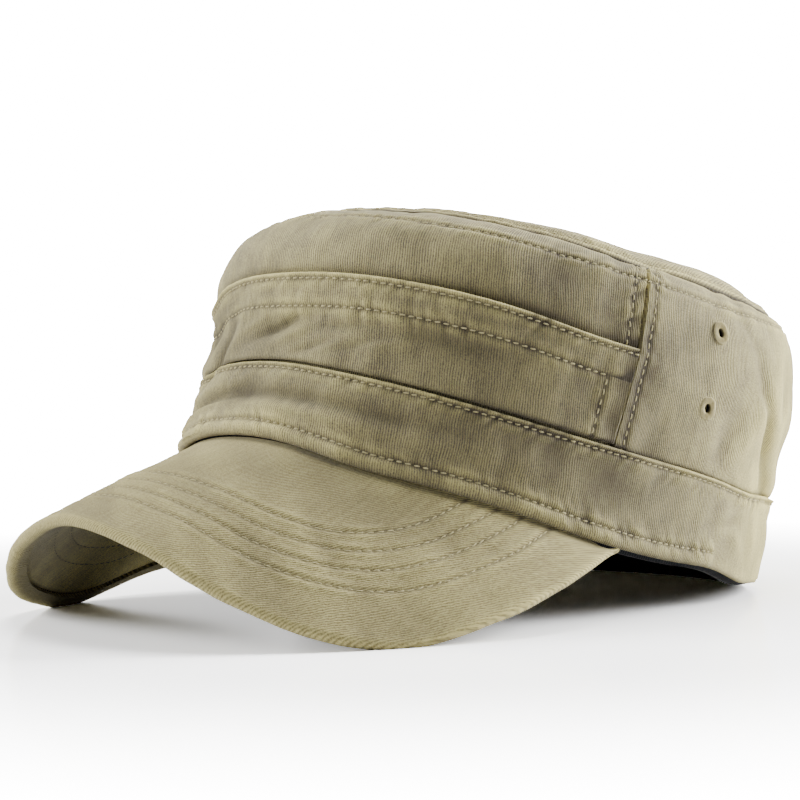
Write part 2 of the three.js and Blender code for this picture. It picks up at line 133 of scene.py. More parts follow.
# Finer folds, with the same columns but depth in millimetres.
FOLDS = (
    (1.6, 1.41, 2.2, 0.13, 32, 1.8),
    (6, 1.32, 2.6, 0.14, 32, -0.9),
    (-4, 1.46, 2.6, 0.14, 30, -0.7),
    (-18.3, 1.13, 2.4, 0.32, 11, 1.8),
    (-12.5, 1.2, 3, 0.3, 11, -0.8),
    (-25, 1.2, 3, 0.3, 11, -0.8),
    (11, 1.2, 2, 0.1, 40, 0.8),
    (22, 1.3, 2.5, 0.12, 45, 0.8),
    (18, 1.47, 5, 0.07, 60, 0.8),
    (38, 1.5, 12, 0.12, 30, 0.7),
    (27, 1.35, 7, 0.08, 70, -0.6),
    (45.5, 2.28, 1.6, 0.16, 6, 0.6),
    (-23, 0.36, 7, 0.14, 120, -1.3),
    (-20, 0.56, 7, 0.14, 120, 0.9),
    (14, 0.6, 26, 0.09, 60, 1.5),
    (10, 0.4, 24, 0.08, 50, -1.0),
    (-22, 0.7, 12, 0.1, 60, -0.8),
    (60, 0.5, 14, 0.18, 0, -0.5),
    (108, 0.57, 3, 0.12, 40, 0.8),
    (112, 0.4, 3, 0.16, -20, -0.6),
    (103, 1.55, 3.5, 0.5, 8, 0.9),
    (97, 1.9, 3, 0.45, 10, -0.6),
    (110, 1.6, 4, 0.55, 12, -1.0),
    (118, 1.6, 2.2, 0.6, -18, 1.9),
    (123.5, 1.6, 4, 0.6, -18, -1.3),
    (130, 1.35, 6, 0.4, 0, 0.4),
    (88, 1.3, 3, 0.3, 10, 0.5),
    (91, 1.9, 2.5, 0.25, 6, 0.35),
    (75.5, 1.25, 1.5, 0.12, 0, 0.6),
    (75, 1.7, 1.6, 0.1, 0, 0.5),
    (-28, 1.55, 6, 0.25, 14, 1.1),
    (-20, 0.95, 6, 0.1, 40, 0.8),
    (25, 2.45, 12, 0.1, 20, -0.4),
    (62, 2.35, 8, 0.14, 10, 0.5),
    (-46, 1.28, 12, 0.18, 0, -3.4),
    (-48, 1.75, 10, 0.15, 0, 1.4),
    (-44, 2.16, 10, 0.14, 0, -1.6),
    (138, 1.16, 16, 0.2, 0, -1.8),
    (137, 0.5, 14, 0.3, 0, -2.2),
)

# Darker patches, and paler ones below 0, partly dye that stayed darker or washed out and partly painted shade
# and painted light: the same columns.
DYE_FADES_AND_PAINTED_LIGHT = (
    (58, 1.3, 22, 1.3, 0, 0.6),
    (78.5, 1.7, 4.5, 1.0, 0, 0.7),
    (66, 0.6, 18, 0.5, 0, 0.34),
    (66, 2.6, 14, 0.6, 0, 0.25),
    (3, 0.62, 16, 0.3, 20, 0.42),
    (-14, 1.45, 30, 0.45, 0, 0.42),
    (-2, 1.25, 10, 0.25, 30, 0.2),
    (86, 1.7, 7, 1.0, 0, 0.3),
    (94, 0.6, 14, 0.5, 0, 0.35),
    (30, 0.5, 30, 0.3, 0, 0.12),
    (123, 1.6, 13, 1.6, 0, -0.7),
    (132, 0.5, 20, 0.8, 0, -0.4),
    (-40, 2.6, 16, 0.6, 0, -0.3),
)

# Half of the peak's rim: share of PEAK_END on the hem, then shares of the half width,
# of the forward length and of the drop.
RIM = np.array((
    (0, 0, 1, 0.545),
    (0.163, 0.326, 0.957, 0.65),
    (0.314, 0.56, 0.866, 0.85),
    (0.465, 0.76, 0.728, 0.995),
    (0.605, 0.908, 0.557, 0.98),
    (0.744, 0.98, 0.354, 0.695),
    (0.837, 0.975, 0.216, 0.475),
    (0.919, 0.935, 0.1, 0.275),
    (1, 0.88, 0, 0.112),
))
WHOLE_RIM = np.vstack((RIM[:0:-1] * (-1, -1, 1, 1), RIM))
# The wearer's right lobe spreads a little further.
WHOLE_RIM[3:6, 1] *= 1.03
WHOLE_RIM[3:6, 2] += 0.014
WHOLE_RIM[5:7, 2] += 0.01
WHOLE_RIM[6, 1] *= 1.03
WHOLE_RIM[6:8, 3] += (0.015, 0.025)

# The peak's four stitched rows: share of the way out at the middle, and how far along
# the peak the row runs before it meets the hem, falling with this power of the way along.
ROW_POWER = 4.4
PEAK_STITCHES = ((0.48, 0.525), (0.575, 0.59), (0.67, 0.655), (0.76, 0.758))

# Random numbers at whole places, for noise.
LATTICE = np.random.RandomState(11).rand(24, 128, 128) * 2 - 1


def noise(x, y, seed):
    """Value noise from -1 to 1: the lattice's random numbers at whole x and y, joined by smooth steps."""
    x, y = np.broadcast_arrays(np.asarray(x, float), np.asarray(y, float))
    i, j = np.floor(x).astype(int), np.floor(y).astype(int)
    f, g = x - i, y - j
    f, g = f * f * (3 - 2 * f), g * g * (3 - 2 * g)
    table = LATTICE[seed % 24]
    i0, i1, j0, j1 = i % 128, (i + 1) % 128, j % 128, (j + 1) % 128
    low = table[i0, j0] * (1 - f) + table[i1, j0] * f
    high = table[i0, j1] * (1 - f) + table[i1, j1] * f
    return low * (1 - g) + high * g


def bell(distance, width):
    """1 at no distance, falling as a Gaussian of that width."""
    return np.exp(-((distance / width) ** 2))


def smooth_row(values, row):
    """Catmull-Rom value of a list at a fractional row."""
    values = np.asarray(values, float)
    last = len(values) - 1
    i = np.clip(np.floor(row).astype(int), 0, last - 1)
    f = row - i
    a, b, c, d = (values[np.clip(i + k, 0, last)] for k in (-1, 0, 1, 2))
    cubic = (3 * b - a - 3 * c + d) * f**3
    return 0.5 * (2 * b + (c - a) * f + (2 * a - 5 * b + 4 * c - d) * f**2 + cubic)


def unit(v):
    """The same direction with a length of 1."""
    return v / np.maximum(np.linalg.norm(v, axis=-1, keepdims=True), 1e-9)


def normal_of(surface, u, v, du, dv):
    """Unit normal by differences, where across and along turn outwards."""
    return unit(np.cross(surface(u + du, v) - surface(u - du, v), surface(u, v + dv) - surface(u, v - dv)))


# Crown


def oval(half_length, half_width, shift, turn):
    """Superellipse: x = width * sin^k, y = shift - length * cos^k, with k = 2 / OVAL_POWER."""
    k = 2 / OVAL_POWER
    s, c = np.sin(turn), np.cos(turn)
    return half_width * np.sign(s) * np.abs(s) ** k, shift - half_length * np.sign(c) * np.abs(c) ** k


def bell_table(table, turn, level):
    """Sum of leaning Gaussian bells, one per row of turn, level, wide, tall, lean, depth."""
    depth = np.zeros(np.broadcast(turn, level).shape)
    for row_turn, row_level, wide, tall, lean, row_depth in table:
        angle = turn - math.radians(row_turn)
        across = np.degrees(np.arctan2(np.sin(angle), np.cos(angle)))
        up = level - row_level
        depth += row_depth * bell(across - lean * up, wide) * bell(up, tall)
    return depth


def section_height(index, turn):
    """Height of a section line: its own height, plus the hem's arch times cos squared of the turn."""
    column = {name: row[index] for name, row in SECTIONS.items()}
    c = np.cos(turn - math.radians(column["lean"]))
    end = np.where(c > 0, column["front"], column["back"])
    return column["height"] + HEM_ARCH * (column["side"] + (end - column["side"]) * c**2)


def crown_face(turn, level):
    """Outer face of the crown panels, upright: ovals between the sections, less the dents.

    Level 0 is the hem, 1 the band's top, 2 the overlay's top and 3 the top seam. Above 2
    height and size follow sin^k and 1 - cos^k, a superellipse shoulder.
    """
    turn, level = np.broadcast_arrays(np.asarray(turn, float), np.asarray(level, float))
    lower = np.clip(np.floor(level), 0, 2).astype(int)
    f = level - lower
    k = 2 / SHOULDER_POWER
    sweep = np.clip(f, 0, None) * SHOULDER_SWEEP
    shoulder = lower == 2
    rise = np.where(shoulder, (np.sin(sweep) / math.sin(SHOULDER_SWEEP)) ** k, f)
    inward = (1 - np.cos(sweep) ** k) / (1 - math.cos(SHOULDER_SWEEP) ** k)
    row = np.where(shoulder, 2 + inward, level)

    def share(name):
        line = SECTIONS[name]
        upper = line[2] + (row - 2) * (line[3] - line[2])
        return np.where(row > 2, upper, smooth_row(line[:3], np.minimum(row, 2)))

    dent = DENT_DEPTH * bell_table(DENTS, turn, level)
    x, y = oval(share("length") * HALF_LENGTH - dent, share("width") * HALF_WIDTH - dent,
                share("shift") * HALF_LENGTH, turn)
    heights = np.stack([section_height(i, turn) for i in range(4)])
    z0 = np.take_along_axis(heights, lower[None], 0)[0]
    z1 = np.take_along_axis(heights, lower[None] + 1, 0)[0]
    return np.stack((x, y, z0 + (z1 - z0) * rise + bell_table(LIFTS, turn, level)), -1)


def hem_height(turn):
    """Height of the hem: its section line and its lifts."""
    return section_height(0, turn) + bell_table(LIFTS, turn, 0 * turn)


def crown_normal(turn, level):
    return normal_of(crown_face, turn, np.clip(level, 0.02, 2.98), 0.02, 0.02)


def to_rest(points):
    """Upright frame to rest: turned about X by TIP, lifted, moved back, nothing below the floor."""
    c, s = math.cos(TIP), math.sin(TIP)
    y = points[..., 1] * c + points[..., 2] * s + BACK_SHIFT
    z = points[..., 2] * c - points[..., 1] * s + LIFT
    return np.stack((points[..., 0], y, np.maximum(z, 0)), -1)


# Cloth meshes


def shell_faces(keep, loop, far_wall=True):
    """Faces of a closed cloth: the kept cells on both skins, and a wall wherever a kept cell ends.

    Each face is written as its corners: the skin, and the steps across and along from its cell.
    """
    across, along = keep.shape
    columns = across if loop else across + 1

    def beside(step):
        cells = np.roll(keep, step, axis=0)
        if not loop:
            cells[0 if step > 0 else -1] = False
        return cells

    below = np.pad(keep, ((0, 0), (1, 0)))[:, :-1]
    above = np.pad(keep, ((0, 0), (0, 1)))[:, 1:]
    faces = []
    for cells, corners in (
        (keep, ((0, 0, 0), (0, 1, 0), (0, 1, 1), (0, 0, 1))),
        (keep, ((1, 0, 0), (1, 0, 1), (1, 1, 1), (1, 1, 0))),
        (keep & ~below, ((0, 0, 0), (1, 0, 0), (1, 1, 0), (0, 1, 0))),
        (keep & ~above & far_wall, ((0, 0, 1), (0, 1, 1), (1, 1, 1), (1, 0, 1))),
        (keep & ~beside(1), ((0, 0, 0), (0, 0, 1), (1, 0, 1), (1, 0, 0))),
        (keep & ~beside(-1), ((0, 1, 0), (1, 1, 0), (1, 1, 1), (0, 1, 1))),
    ):
        i, j = np.nonzero(cells)
        at = [(skin * columns + (i + a) % columns) * (along + 1) + j + b for skin, a, b in corners]
        faces.append(np.stack(at, -1))
    return np.concatenate(faces)


def two_skins(outside, inside):
    """Rows of points: the outer skin's, then the inner one's."""
    return np.concatenate((outside.reshape(-1, 3), inside.reshape(-1, 3)))


def skin_marks(x, y, wear_and_painted_light, shade, inner_shade=0.3):
    """Marks of a cloth's two skins: place in the weave, wear and shade; the inner skin is unworn and has
    painted shade of inner_shade.
    """
    weave = np.stack((x, y, 0 * x), -1).reshape(-1, 3)
    wear_and_painted_light, shade = np.ravel(wear_and_painted_light), np.ravel(shade)
    return {
        "weave": np.concatenate((weave, weave)),
        "wear_and_painted_light": np.concatenate((wear_and_painted_light, 0 * wear_and_painted_light)),
        "shade": np.concatenate((shade, inner_shade + 0 * shade)),
    }


def new_object(name, data):
    thing = bpy.data.objects.new(name, data)
    bpy.context.scene.collection.objects.link(thing)
    return thing


def new_piece(name, points, faces, material, marks=None, smooth=50):
    """Mesh object from points in millimetres at rest and faces as rows of corner numbers."""
    groups = faces if isinstance(faces, list) else [faces]
    corners = np.concatenate([np.full(len(group), group.shape[1]) for group in groups])
    faces = np.concatenate([group.ravel() for group in groups])
    used = np.unique(faces)
    number = np.full(len(points), -1)
    number[used] = np.arange(len(used))
    faces = number[faces]
    mesh = bpy.data.meshes.new(name)
    mesh.vertices.add(len(used))
    mesh.vertices.foreach_set("co", (points[used] / 1000).ravel())
    mesh.loops.add(faces.size)
    mesh.loops.foreach_set("vertex_index", faces.astype(np.int32))
    mesh.polygons.add(len(corners))
    mesh.polygons.foreach_set("loop_start", (np.cumsum(corners) - corners).astype(np.int32))
    for mark, values in (marks or {}).items():
        kind, field = ("FLOAT_VECTOR", "vector") if values.ndim == 2 else ("FLOAT", "value")
        layer = mesh.attributes.new(mark, kind, "POINT")
        layer.data.foreach_set(field, values[used].astype(np.float32).ravel())
    mesh.update(calc_edges=True)
    mesh.validate()
    mesh.shade_smooth()
    if smooth:
        mesh.set_sharp_from_angle(angle=math.radians(smooth))
    mesh.materials.append(material)
    piece = new_object(name, mesh)
    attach(piece, "root")
    return piece


def run_along(face, row=None):
    """Distances in millimetres over a grid of points: across, at one row, and up each column.

    The row is the middle one if not given.
    """
    line = face[:, face.shape[1] // 2 if row is None else row]
    across = np.concatenate(([0], np.cumsum(np.linalg.norm(np.diff(line, axis=0), axis=-1))))
    steps = np.linalg.norm(np.diff(face, axis=1), axis=-1)
    up = np.concatenate((np.zeros((len(face), 1)), np.cumsum(steps, axis=1)), axis=1)
    return np.broadcast_to(across[:, None], up.shape), up


def rounding(distance, radius, least=0.12):
    """Share of the full thickness near a folded edge: a quarter circle of that radius."""
    f = np.clip(1 - distance / radius, 0, 1)
    return np.maximum(np.sqrt(np.clip(1 - f * f, 0, 1)), least)


def cloth(name, face, normal, outer, inner, relief, material, node,
          loop=False, keep=None, edge=1.0, row=None):
    """Closed cloth between two distances from a face, with relief on its outside and rounded edges.

    outer skin = middle + half thickness * rounding + relief, inner skin = middle - half thickness * rounding,
    and further in wherever the relief would leave less than THINNEST between them.
    """
    across, up = run_along(face, row)
    rise, wear_and_painted_light, shade = relief
    full = rounding(np.minimum(up, up[:, -1:] - up), edge)
    if not loop:
        full = full * rounding(np.minimum(across, across[-1:] - across), edge)
    middle, half = (outer + inner) / 2, (outer - inner) / 2
    pressed = np.minimum(rise + 2 * half - THINNEST, 0)
    outside = to_rest(face + normal * (middle + half * full + rise * full)[..., None])
    inside = to_rest(face + normal * (middle - half * full + pressed * full)[..., None])
    if keep is None:
        keep = np.ones((len(face) - (0 if loop else 1), face.shape[1] - 1), bool)
    marks = skin_marks(across, up, wear_and_painted_light, shade)
    piece = new_piece(name, two_skins(outside, inside), shell_faces(keep, loop), material, marks)
    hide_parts(node)
    return {"points": outside, "loop": loop, "across": across, "up": up}


def drawn_in(distance, run, pitch, seed, depth=0.42, puckers=0.6):
    """Relief, wear and shade of cloth pulled in by a stitched row at that signed distance.

    A groove deepest at each needle hole, with painted shade in it, a swell on both sides of it, and short
    puckers across it, with painted shade in their hollows and paler crests.
    """
    near = bell(distance, 0.7)
    swell = bell(np.abs(distance) - 1.9, 1.1)
    uneven = noise(run / 6.5, distance / 9, seed)
    pucker = noise(run / 2.1 + 0.35 * distance, distance / 6, seed + 1) * bell(distance, 4.2)
    strong = 0.55 + 0.6 * np.clip(noise(run / 17, 0 * run, seed + 2) + 0.3, 0, 1)
    beat = 0.7 + 0.3 * np.cos(2 * math.pi * run / pitch)
    rise = -depth * near * beat + 0.2 * swell * (1 + 0.8 * uneven) + puckers * strong * pucker * (1 - near)
    wear_and_painted_light = 0.5 * swell * (0.5 + 0.6 * uneven) + 0.8 * puckers * strong * np.clip(pucker, 0, 1)
    return rise, wear_and_painted_light, 0.5 * near + puckers * strong * np.clip(-pucker, 0, 1)


def soft_surface(across, up, seed, strength=1.0):
    """Relief, wear and shade of washed cloth: three sizes of noise, the middle one drawn upwards."""
    big = noise(across / 19, up / 15, seed)
    drape = noise(across / 7, up / 16, seed + 1)
    small = noise(across / 3.4, up / 4.2, seed + 2)
    rise = strength * (0.5 * big + 0.3 * drape + 0.1 * small)
    return rise, 0.18 * np.clip(drape + big, 0, 1), 0.25 * np.clip(-(big + drape), 0, 1)


def together(*reliefs):
    """Sum of reliefs, each a rise, a wear and a shade."""
    return tuple(sum(parts) for parts in zip(*reliefs))


def finer_near(low, high, step, places=(), reach=1.6, fine=0.35):
    """Values from low to high about a step apart, and finer within reach of each place."""
    at = [low]
    while at[-1] < high - 1e-6:
        near = any(abs(at[-1] + 0.5 * fine - place) < reach for place in places)
        at.append(min(at[-1] + (fine if near else step), high))
    if len(at) > 2 and at[-1] - at[-2] < 0.4 * fine:
        at.pop(-2)
    return np.array(at)


# Lengths of the crown's sections up the cloth, and the level where its panels begin inside the band.
PANEL_START = 0.25
BAND_TALL = 26.5
OVERLAY_TALL = 29.0
SHOULDER_TALL = 39.0


def levels_of(low, high, tall, step=0.8, places=(), ends=True):
    """Levels between two whole levels of one section, from distances in millimetres."""
    marks = list(places) + ([0, tall] if ends else [])
    return low + (high - low) * finer_near(0, tall, step, marks) / tall


def wall(turns, levels):
    """Crown face and normals over a grid of turns in degrees and levels, and the distances over it."""
    turn, level = np.meshgrid(np.radians(turns), levels, indexing="ij")
    face = crown_face(turn, level)
    across, up = run_along(face)
    return turn, level, face, crown_normal(turn, level), across, up, up[:, -1:] - up


def folds(turn, level):
    """Rise, wear and shade of the table of finer folds, with painted shade in the dents and paler ridges, and
    the patch table's painted shade and painted light, partly dye.
    """
    depth, fade = bell_table(FOLDS, turn, level), bell_table(DYE_FADES_AND_PAINTED_LIGHT, turn, level)
    # Below 0 the patches add painted light, partly washed-out dye; above 0 they add painted shade, partly
    # darker dye.
    wear_and_painted_light = 0.3 * np.clip(-depth, 0, 1) + np.clip(-fade, 0, 1)
    return -depth, wear_and_painted_light, 0.35 * np.clip(depth, 0, 1) + np.clip(fade, 0, 1)


FRONT_TURNS = np.linspace(-SIDE_SEAM, SIDE_SEAM, 347)
LEFT_TURNS = np.linspace(SIDE_SEAM, 180, 205)
ROUND_TURNS = np.linspace(-180, 180, 721)[:-1]

# Distances of the sewn rows from the edges, and from one stitch to the next.
STITCH_PITCH = 2.75
PEAK_PITCH = 3.05
EDGE_STITCH = 1.9
OVERLAY_ROW = 10.4
SIDE_ROW = 9.2
SEAM_ROW = 4.3
HEM_STITCH = 4.9
TOP_ROW = 3.0
BACK_STITCH_END = 105


def top_stitch(turn):
    """Distance of the row below the top seam: further down at the front, where the shoulder is longer."""
    return 9.2 + 4.6 * np.cos(turn)


# Materials


class Wiring:
    """Short ways to add and join shader nodes in one tree."""

    def __init__(self, tree):
        self.tree = tree

    def join(self, source, target):
        if isinstance(source, (int, float, tuple)):
            target.default_value = source
        else:
            self.tree.links.new(source, target)

    def fill(self, node, values):
        """Values or outputs of other nodes on a node's inputs."""
        for key, value in values.items():
            self.join(value, node.inputs[key])

    def add(self, kind, values=None, **settings):
        node = self.tree.nodes.new(kind)
        for key, value in settings.items():
            setattr(node, key, value)
        self.fill(node, values or {})
        return node

    def math(self, operation, a, b=0.0, c=None, clamp=False):
        values = {0: a, 1: b} if c is None else {0: a, 1: b, 2: c}
        return self.add("ShaderNodeMath", values, operation=operation, use_clamp=clamp).outputs[0]

    def total(self, *parts):
        """Sum of pairs of a value and its weight."""
        result = self.math("MULTIPLY", *parts[-1])
        for value, weight in parts[-2::-1]:
            result = self.math("MULTIPLY_ADD", value, weight, result)
        return result

    def noise(self, vector, scale, detail=2.0, roughness=0.5):
        values = {"Vector": vector, "Scale": scale, "Detail": detail, "Roughness": roughness}
        return self.add("ShaderNodeTexNoise", values, noise_dimensions="3D").outputs["Fac"]

    def mix(self, factor, a, b):
        return self.add("ShaderNodeMix", {"Factor": factor, 6: a, 7: b}, data_type="RGBA").outputs[2]

    def blend(self, factor, a, b):
        """Mixed shader."""
        return self.add("ShaderNodeMixShader", {0: factor, 1: a, 2: b}).outputs[0]

    def mark(self, name, output="Fac"):
        """One of the marks that a piece carries on its points."""
        return self.add("ShaderNodeAttribute", attribute_name=name).outputs[output]

    def bump(self, height, strength, distance):
        values = {"Strength": strength, "Distance": distance, "Height": height}
        return self.add("ShaderNodeBump", values).outputs[0]


def twill_group():
    """Washed twill: slanted wales crossed by fine yarns, upright heather streaks and broad fading."""
    group = bpy.data.node_groups.new("washed_twill", "ShaderNodeTree")
    group.interface.new_socket("Weave", in_out="INPUT", socket_type="NodeSocketVector")
    for label, value in (("Slant", 0.2), ("Wale Pitch", 0.8), ("Fading", 1.0)):
        group.interface.new_socket(label, in_out="INPUT", socket_type="NodeSocketFloat").default_value = value
    for label in ("Height", "Tone", "Fade"):
        group.interface.new_socket(label, in_out="OUTPUT", socket_type="NodeSocketFloat")
    inside, outside = group.nodes.new("NodeGroupInput"), group.nodes.new("NodeGroupOutput")
    w = Wiring(group)
    names = "Weave", "Slant", "Wale Pitch", "Fading"
    weave, slant, pitch, fading = (inside.outputs[name] for name in names)

    def grain(scale, detail, roughness):
        """Noise about 0, stretched by a scale."""
        stretched = w.add("ShaderNodeMapping", {"Vector": weave, "Scale": scale}, vector_type="POINT")
        return w.math("ADD", w.noise(stretched.outputs[0], 1.0, detail, roughness), -0.5)

    split = w.add("ShaderNodeSeparateXYZ", {0: weave})
    wander = w.math("MULTIPLY", w.noise(weave, 0.09, 1.0), 2.0)
    across = w.math("ADD", w.math("MULTIPLY_ADD", split.outputs[1], slant, split.outputs[0]), wander)
    wale = w.math("SINE", w.math("MULTIPLY", w.math("DIVIDE", across, pitch), 2 * math.pi))
    speckle = grain((1.5, 1.1, 1), 2.0, 0.75)
    fine = grain((4.0, 2.2, 1), 1.0, 0.5)
    strands = grain((0.9, 0.12, 1), 2.0, 0.5)
    clouds = w.math("ADD", w.noise(weave, 0.13, 4.0, 0.6), -0.5)
    broad = w.math("ADD", w.noise(weave, 0.04, 2.0, 0.5), -0.5)
    w.fill(outside, {
        "Height": w.total((wale, 0.7), (fine, 1.6), (speckle, 0.8)),
        "Tone": w.total((strands, 0.7), (wale, 0.34), (fine, 1.5), (speckle, 1.0)),
        "Fade": w.math("MULTIPLY", w.total((clouds, 0.9), (broad, 0.5)), fading),
    })
    return group


TWILL = twill_group()


def srgb(red, green, blue):
    """Linear colour from screen values 0 to 255."""
    values = [c / 255 for c in (red, green, blue)]
    return tuple(c / 12.92 if c <= 0.04045 else ((c + 0.055) / 1.055) ** 2.4 for c in values) + (1,)


def new_material(name, roughness):
    material = bpy.data.materials.new(name)
    material.use_nodes = True
    w = Wiring(material.node_tree)
    shader = material.node_tree.nodes["Principled BSDF"]
    w.fill(shader, {"Roughness": roughness, "Specular IOR Level": 0.1})
    return material, w, shader


def twill_material(name, dark, light, worn_and_painted_light, deep, slant, pitch=0.78, fading=1.0, bump=0.6):
    """Washed twill: tone picks between dark and light; the wear mark, real wear and painted light, turns it
    pale, and the shade mark, painted shade and partly darker dye, turns it deep.
    """
    material, w, shader = new_material(name, 0.92)
    twill = w.add("ShaderNodeGroup", {
        "Weave": w.mark("weave", "Vector"), "Slant": slant, "Wale Pitch": pitch, "Fading": fading,
    }, node_tree=TWILL).outputs
    tone = w.math("ADD", w.math("ADD", twill["Tone"], twill["Fade"]), 0.5, clamp=True)
    pale_share = w.math("MULTIPLY", w.mark("wear_and_painted_light"), w.math("ADD", twill["Tone"], 0.8), clamp=True)
    faded = w.mix(pale_share, w.mix(tone, dark, light), worn_and_painted_light)
    # Painted shade, partly darker dye, from the shade mark.
    shade_share = w.math("MULTIPLY", w.mark("shade"), 0.8, clamp=True)
    w.fill(shader, {
        "Base Color": w.mix(shade_share, faded, deep),
        "Normal": w.bump(twill["Height"], bump, 0.00016),
        "Sheen Weight": 0.12,
        "Sheen Roughness": 0.5,
    })
    return material


def thread_material(name, dark, light):
    """Spun thread: fine slanted plies over an uneven tone, darker where shaded."""
    material, w, shader = new_material(name, 0.75)
    place = w.add("ShaderNodeTexCoord").outputs["Object"]
    tone, patch = w.noise(place, 900.0), w.noise(place, 60.0)
    uneven = w.math("ADD", w.math("MULTIPLY", tone, 0.6), w.math("MULTIPLY", patch, 0.5), clamp=True)
    w.fill(shader, {
        "Base Color": w.mix(w.mark("shade"), w.mix(uneven, dark, light), srgb(16, 14, 10)),
        "Normal": w.bump(w.noise(place, 2600.0, 1.0), 0.5, 0.0001),
    })
    return material


# The pale colour is that of worn ridges and of painted light; the deep one is that of painted shade in
# grooves, dents and hollows, and of dye that stayed darker.
WORN_AND_PAINTED_LIGHT, DEEP = srgb(220, 208, 140), srgb(70, 64, 52)
KHAKI = srgb(104, 97, 80), srgb(188, 178, 128), WORN_AND_PAINTED_LIGHT, DEEP
PEAK_KHAKI = srgb(128, 118, 78), srgb(192, 181, 128), WORN_AND_PAINTED_LIGHT, DEEP
# The peak's underside is the same khaki, given darker, greyer colours: painted shade.
UNDERSIDE = srgb(96, 91, 78), srgb(128, 122, 106), WORN_AND_PAINTED_LIGHT, DEEP
NAVY = srgb(14, 15, 18), srgb(30, 32, 37), srgb(50, 52, 58), srgb(6, 7, 8)

crown_twill = twill_material("crown_twill", *KHAKI, 0.16)
band_twill = twill_material("band_twill", *KHAKI, 0.12)
top_twill = twill_material("top_twill", *KHAKI, 0.5)
peak_twill = twill_material("peak_twill", *PEAK_KHAKI, 0.75, 0.9, 0.3)
lining_twill = twill_material("lining_twill", *UNDERSIDE, 0.75, 0.9, 0.3)
navy_tape = twill_material("navy_tape", *NAVY, 1.0, 0.8)
khaki_thread = thread_material("khaki_thread", srgb(156, 146, 106), srgb(206, 196, 152))
# The lining's thread is darkened to match it: painted shade.
lining_thread = thread_material("lining_thread", srgb(100, 94, 78), srgb(130, 123, 105))
eyelet_thread = thread_material("eyelet_thread", srgb(160, 149, 108), srgb(206, 196, 152))


# Stitches


def path_on(skin, i, j):
    """Points and normals of a cloth's outer skin at fractional columns i and rows j, by bilinear weights."""
    points = skin["points"]
    i, j = np.broadcast_arrays(np.asarray(i, float), np.asarray(j, float))
    columns, rows = points.shape[:2]
    i0 = np.floor(i).astype(int) if skin["loop"] else np.clip(np.floor(i).astype(int), 0, columns - 2)
    j0 = np.clip(np.floor(j).astype(int), 0, rows - 2)
    f, g = (i - i0)[..., None], (j - j0)[..., None]
    i1 = (i0 + 1) % columns
    i0 = i0 % columns
    a, b, c, d = points[i0, j0], points[i1, j0], points[i0, j0 + 1], points[i1, j0 + 1]
    place = (a * (1 - f) + b * f) * (1 - g) + (c * (1 - f) + d * f) * g
    return place, unit(np.cross((b - a) + (d - c), (c - a) + (d - b)))


def row_below_edge(skin, distance, first=0.0, last=np.inf, from_top=True):
    """Path across a cloth at a distance from its top or bottom edge, between two distances across."""
    along, up = skin["across"][:, 0], skin["up"]
    columns = np.nonzero((along >= first) & (along <= last))[0]
    if skin["loop"]:
        columns = np.append(columns, len(along))
    height = np.broadcast_to(distance, len(up))
    height = up[:, -1] - height if from_top else height
    rows = [np.interp(height[i], up[i], np.arange(up.shape[1])) for i in columns % len(up)]
    return path_on(skin, columns, np.array(rows))


def row_beside_seam(skin, distance, low, high, from_start=True):
    """Path up a cloth at a distance from its first or last column, between two distances up."""
    along = skin["across"][:, 0]
    i = float(np.interp(distance if from_start else along[-1] - distance, along, np.arange(len(along))))
    line = skin["up"][int(round(i))]
    j = np.interp(np.arange(low, high if high > 0 else line[-1] + high, 0.8), line, np.arange(len(line)))
    return path_on(skin, i, j)


def stitches(name, paths, material, pitch=STITCH_PITCH, length=2.1, radius=0.27, seed=0):
    """Sewn stitches as arched threads: six-sided tubes of five rings, their ends sunk in the cloth.

    Each path is points and normals at rest. A stitch's rings stand on the path by
    radius * (0.55 - 1.35 * t^2) for t from -1 to 1 along it.
    """
    t = np.array((-1, -0.62, 0, 0.62, 1.0))
    sides = 6
    of_stitch = sides * len(t)
    ring = np.arange(sides) * 2 * math.pi / sides
    k = np.arange(sides)
    random = np.random.RandomState(seed + 5)
    all_points, all_faces = [], []
    offset = 0
    for place, normal in paths:
        run = np.concatenate(([0], np.cumsum(np.linalg.norm(np.diff(place, axis=0), axis=-1))))
        count = int(run[-1] // pitch)
        centres = (np.arange(count) + 0.5) * run[-1] / count
        centres = centres + random.uniform(-0.12, 0.12, count)
        at = centres[:, None] + t * length / 2
        middle = np.stack([np.interp(at, run, place[:, axis]) for axis in range(3)], -1)
        up = unit(np.stack([np.interp(at, run, normal[:, axis]) for axis in range(3)], -1))
        along = unit(middle[:, -1:] - middle[:, :1])
        side = unit(np.cross(up, along))
        skew = (random.uniform(-0.07, 0.07, count) + 0.09)[:, None, None] * t[:, None] * length / 2
        middle = middle + side * skew + up * radius * (0.55 - 1.35 * t**2)[None, :, None]
        thick = radius * np.sqrt(np.clip(1 - (0.93 * t) ** 4, 0.02, 1))[None, :, None, None]
        spokes = np.cos(ring)[:, None] * side[:, :, None] + 0.8 * np.sin(ring)[:, None] * up[:, :, None]
        all_points.append((middle[:, :, None] + thick * spokes).reshape(-1, 3))
        start = offset + np.arange(count) * of_stitch
        base = start[:, None, None] + np.arange(len(t) - 1)[:, None] * sides
        after = base + (k + 1) % sides
        quads = np.stack((base + k, base + sides + k, after + sides, after), -1).reshape(-1, 4)
        end = start + of_stitch - sides
        caps = [np.stack([at_cap + q for q in corners], -1) for at_cap, corners in (
            (start, (0, 1, 2, 3)), (start, (0, 3, 4, 5)), (end, (3, 2, 1, 0)), (end, (5, 4, 3, 0)))]
        all_faces += [quads, *caps]
        offset += count * of_stitch
    piece = new_piece(name, np.concatenate(all_points), np.concatenate(all_faces), material, smooth=0)


# Wall pieces

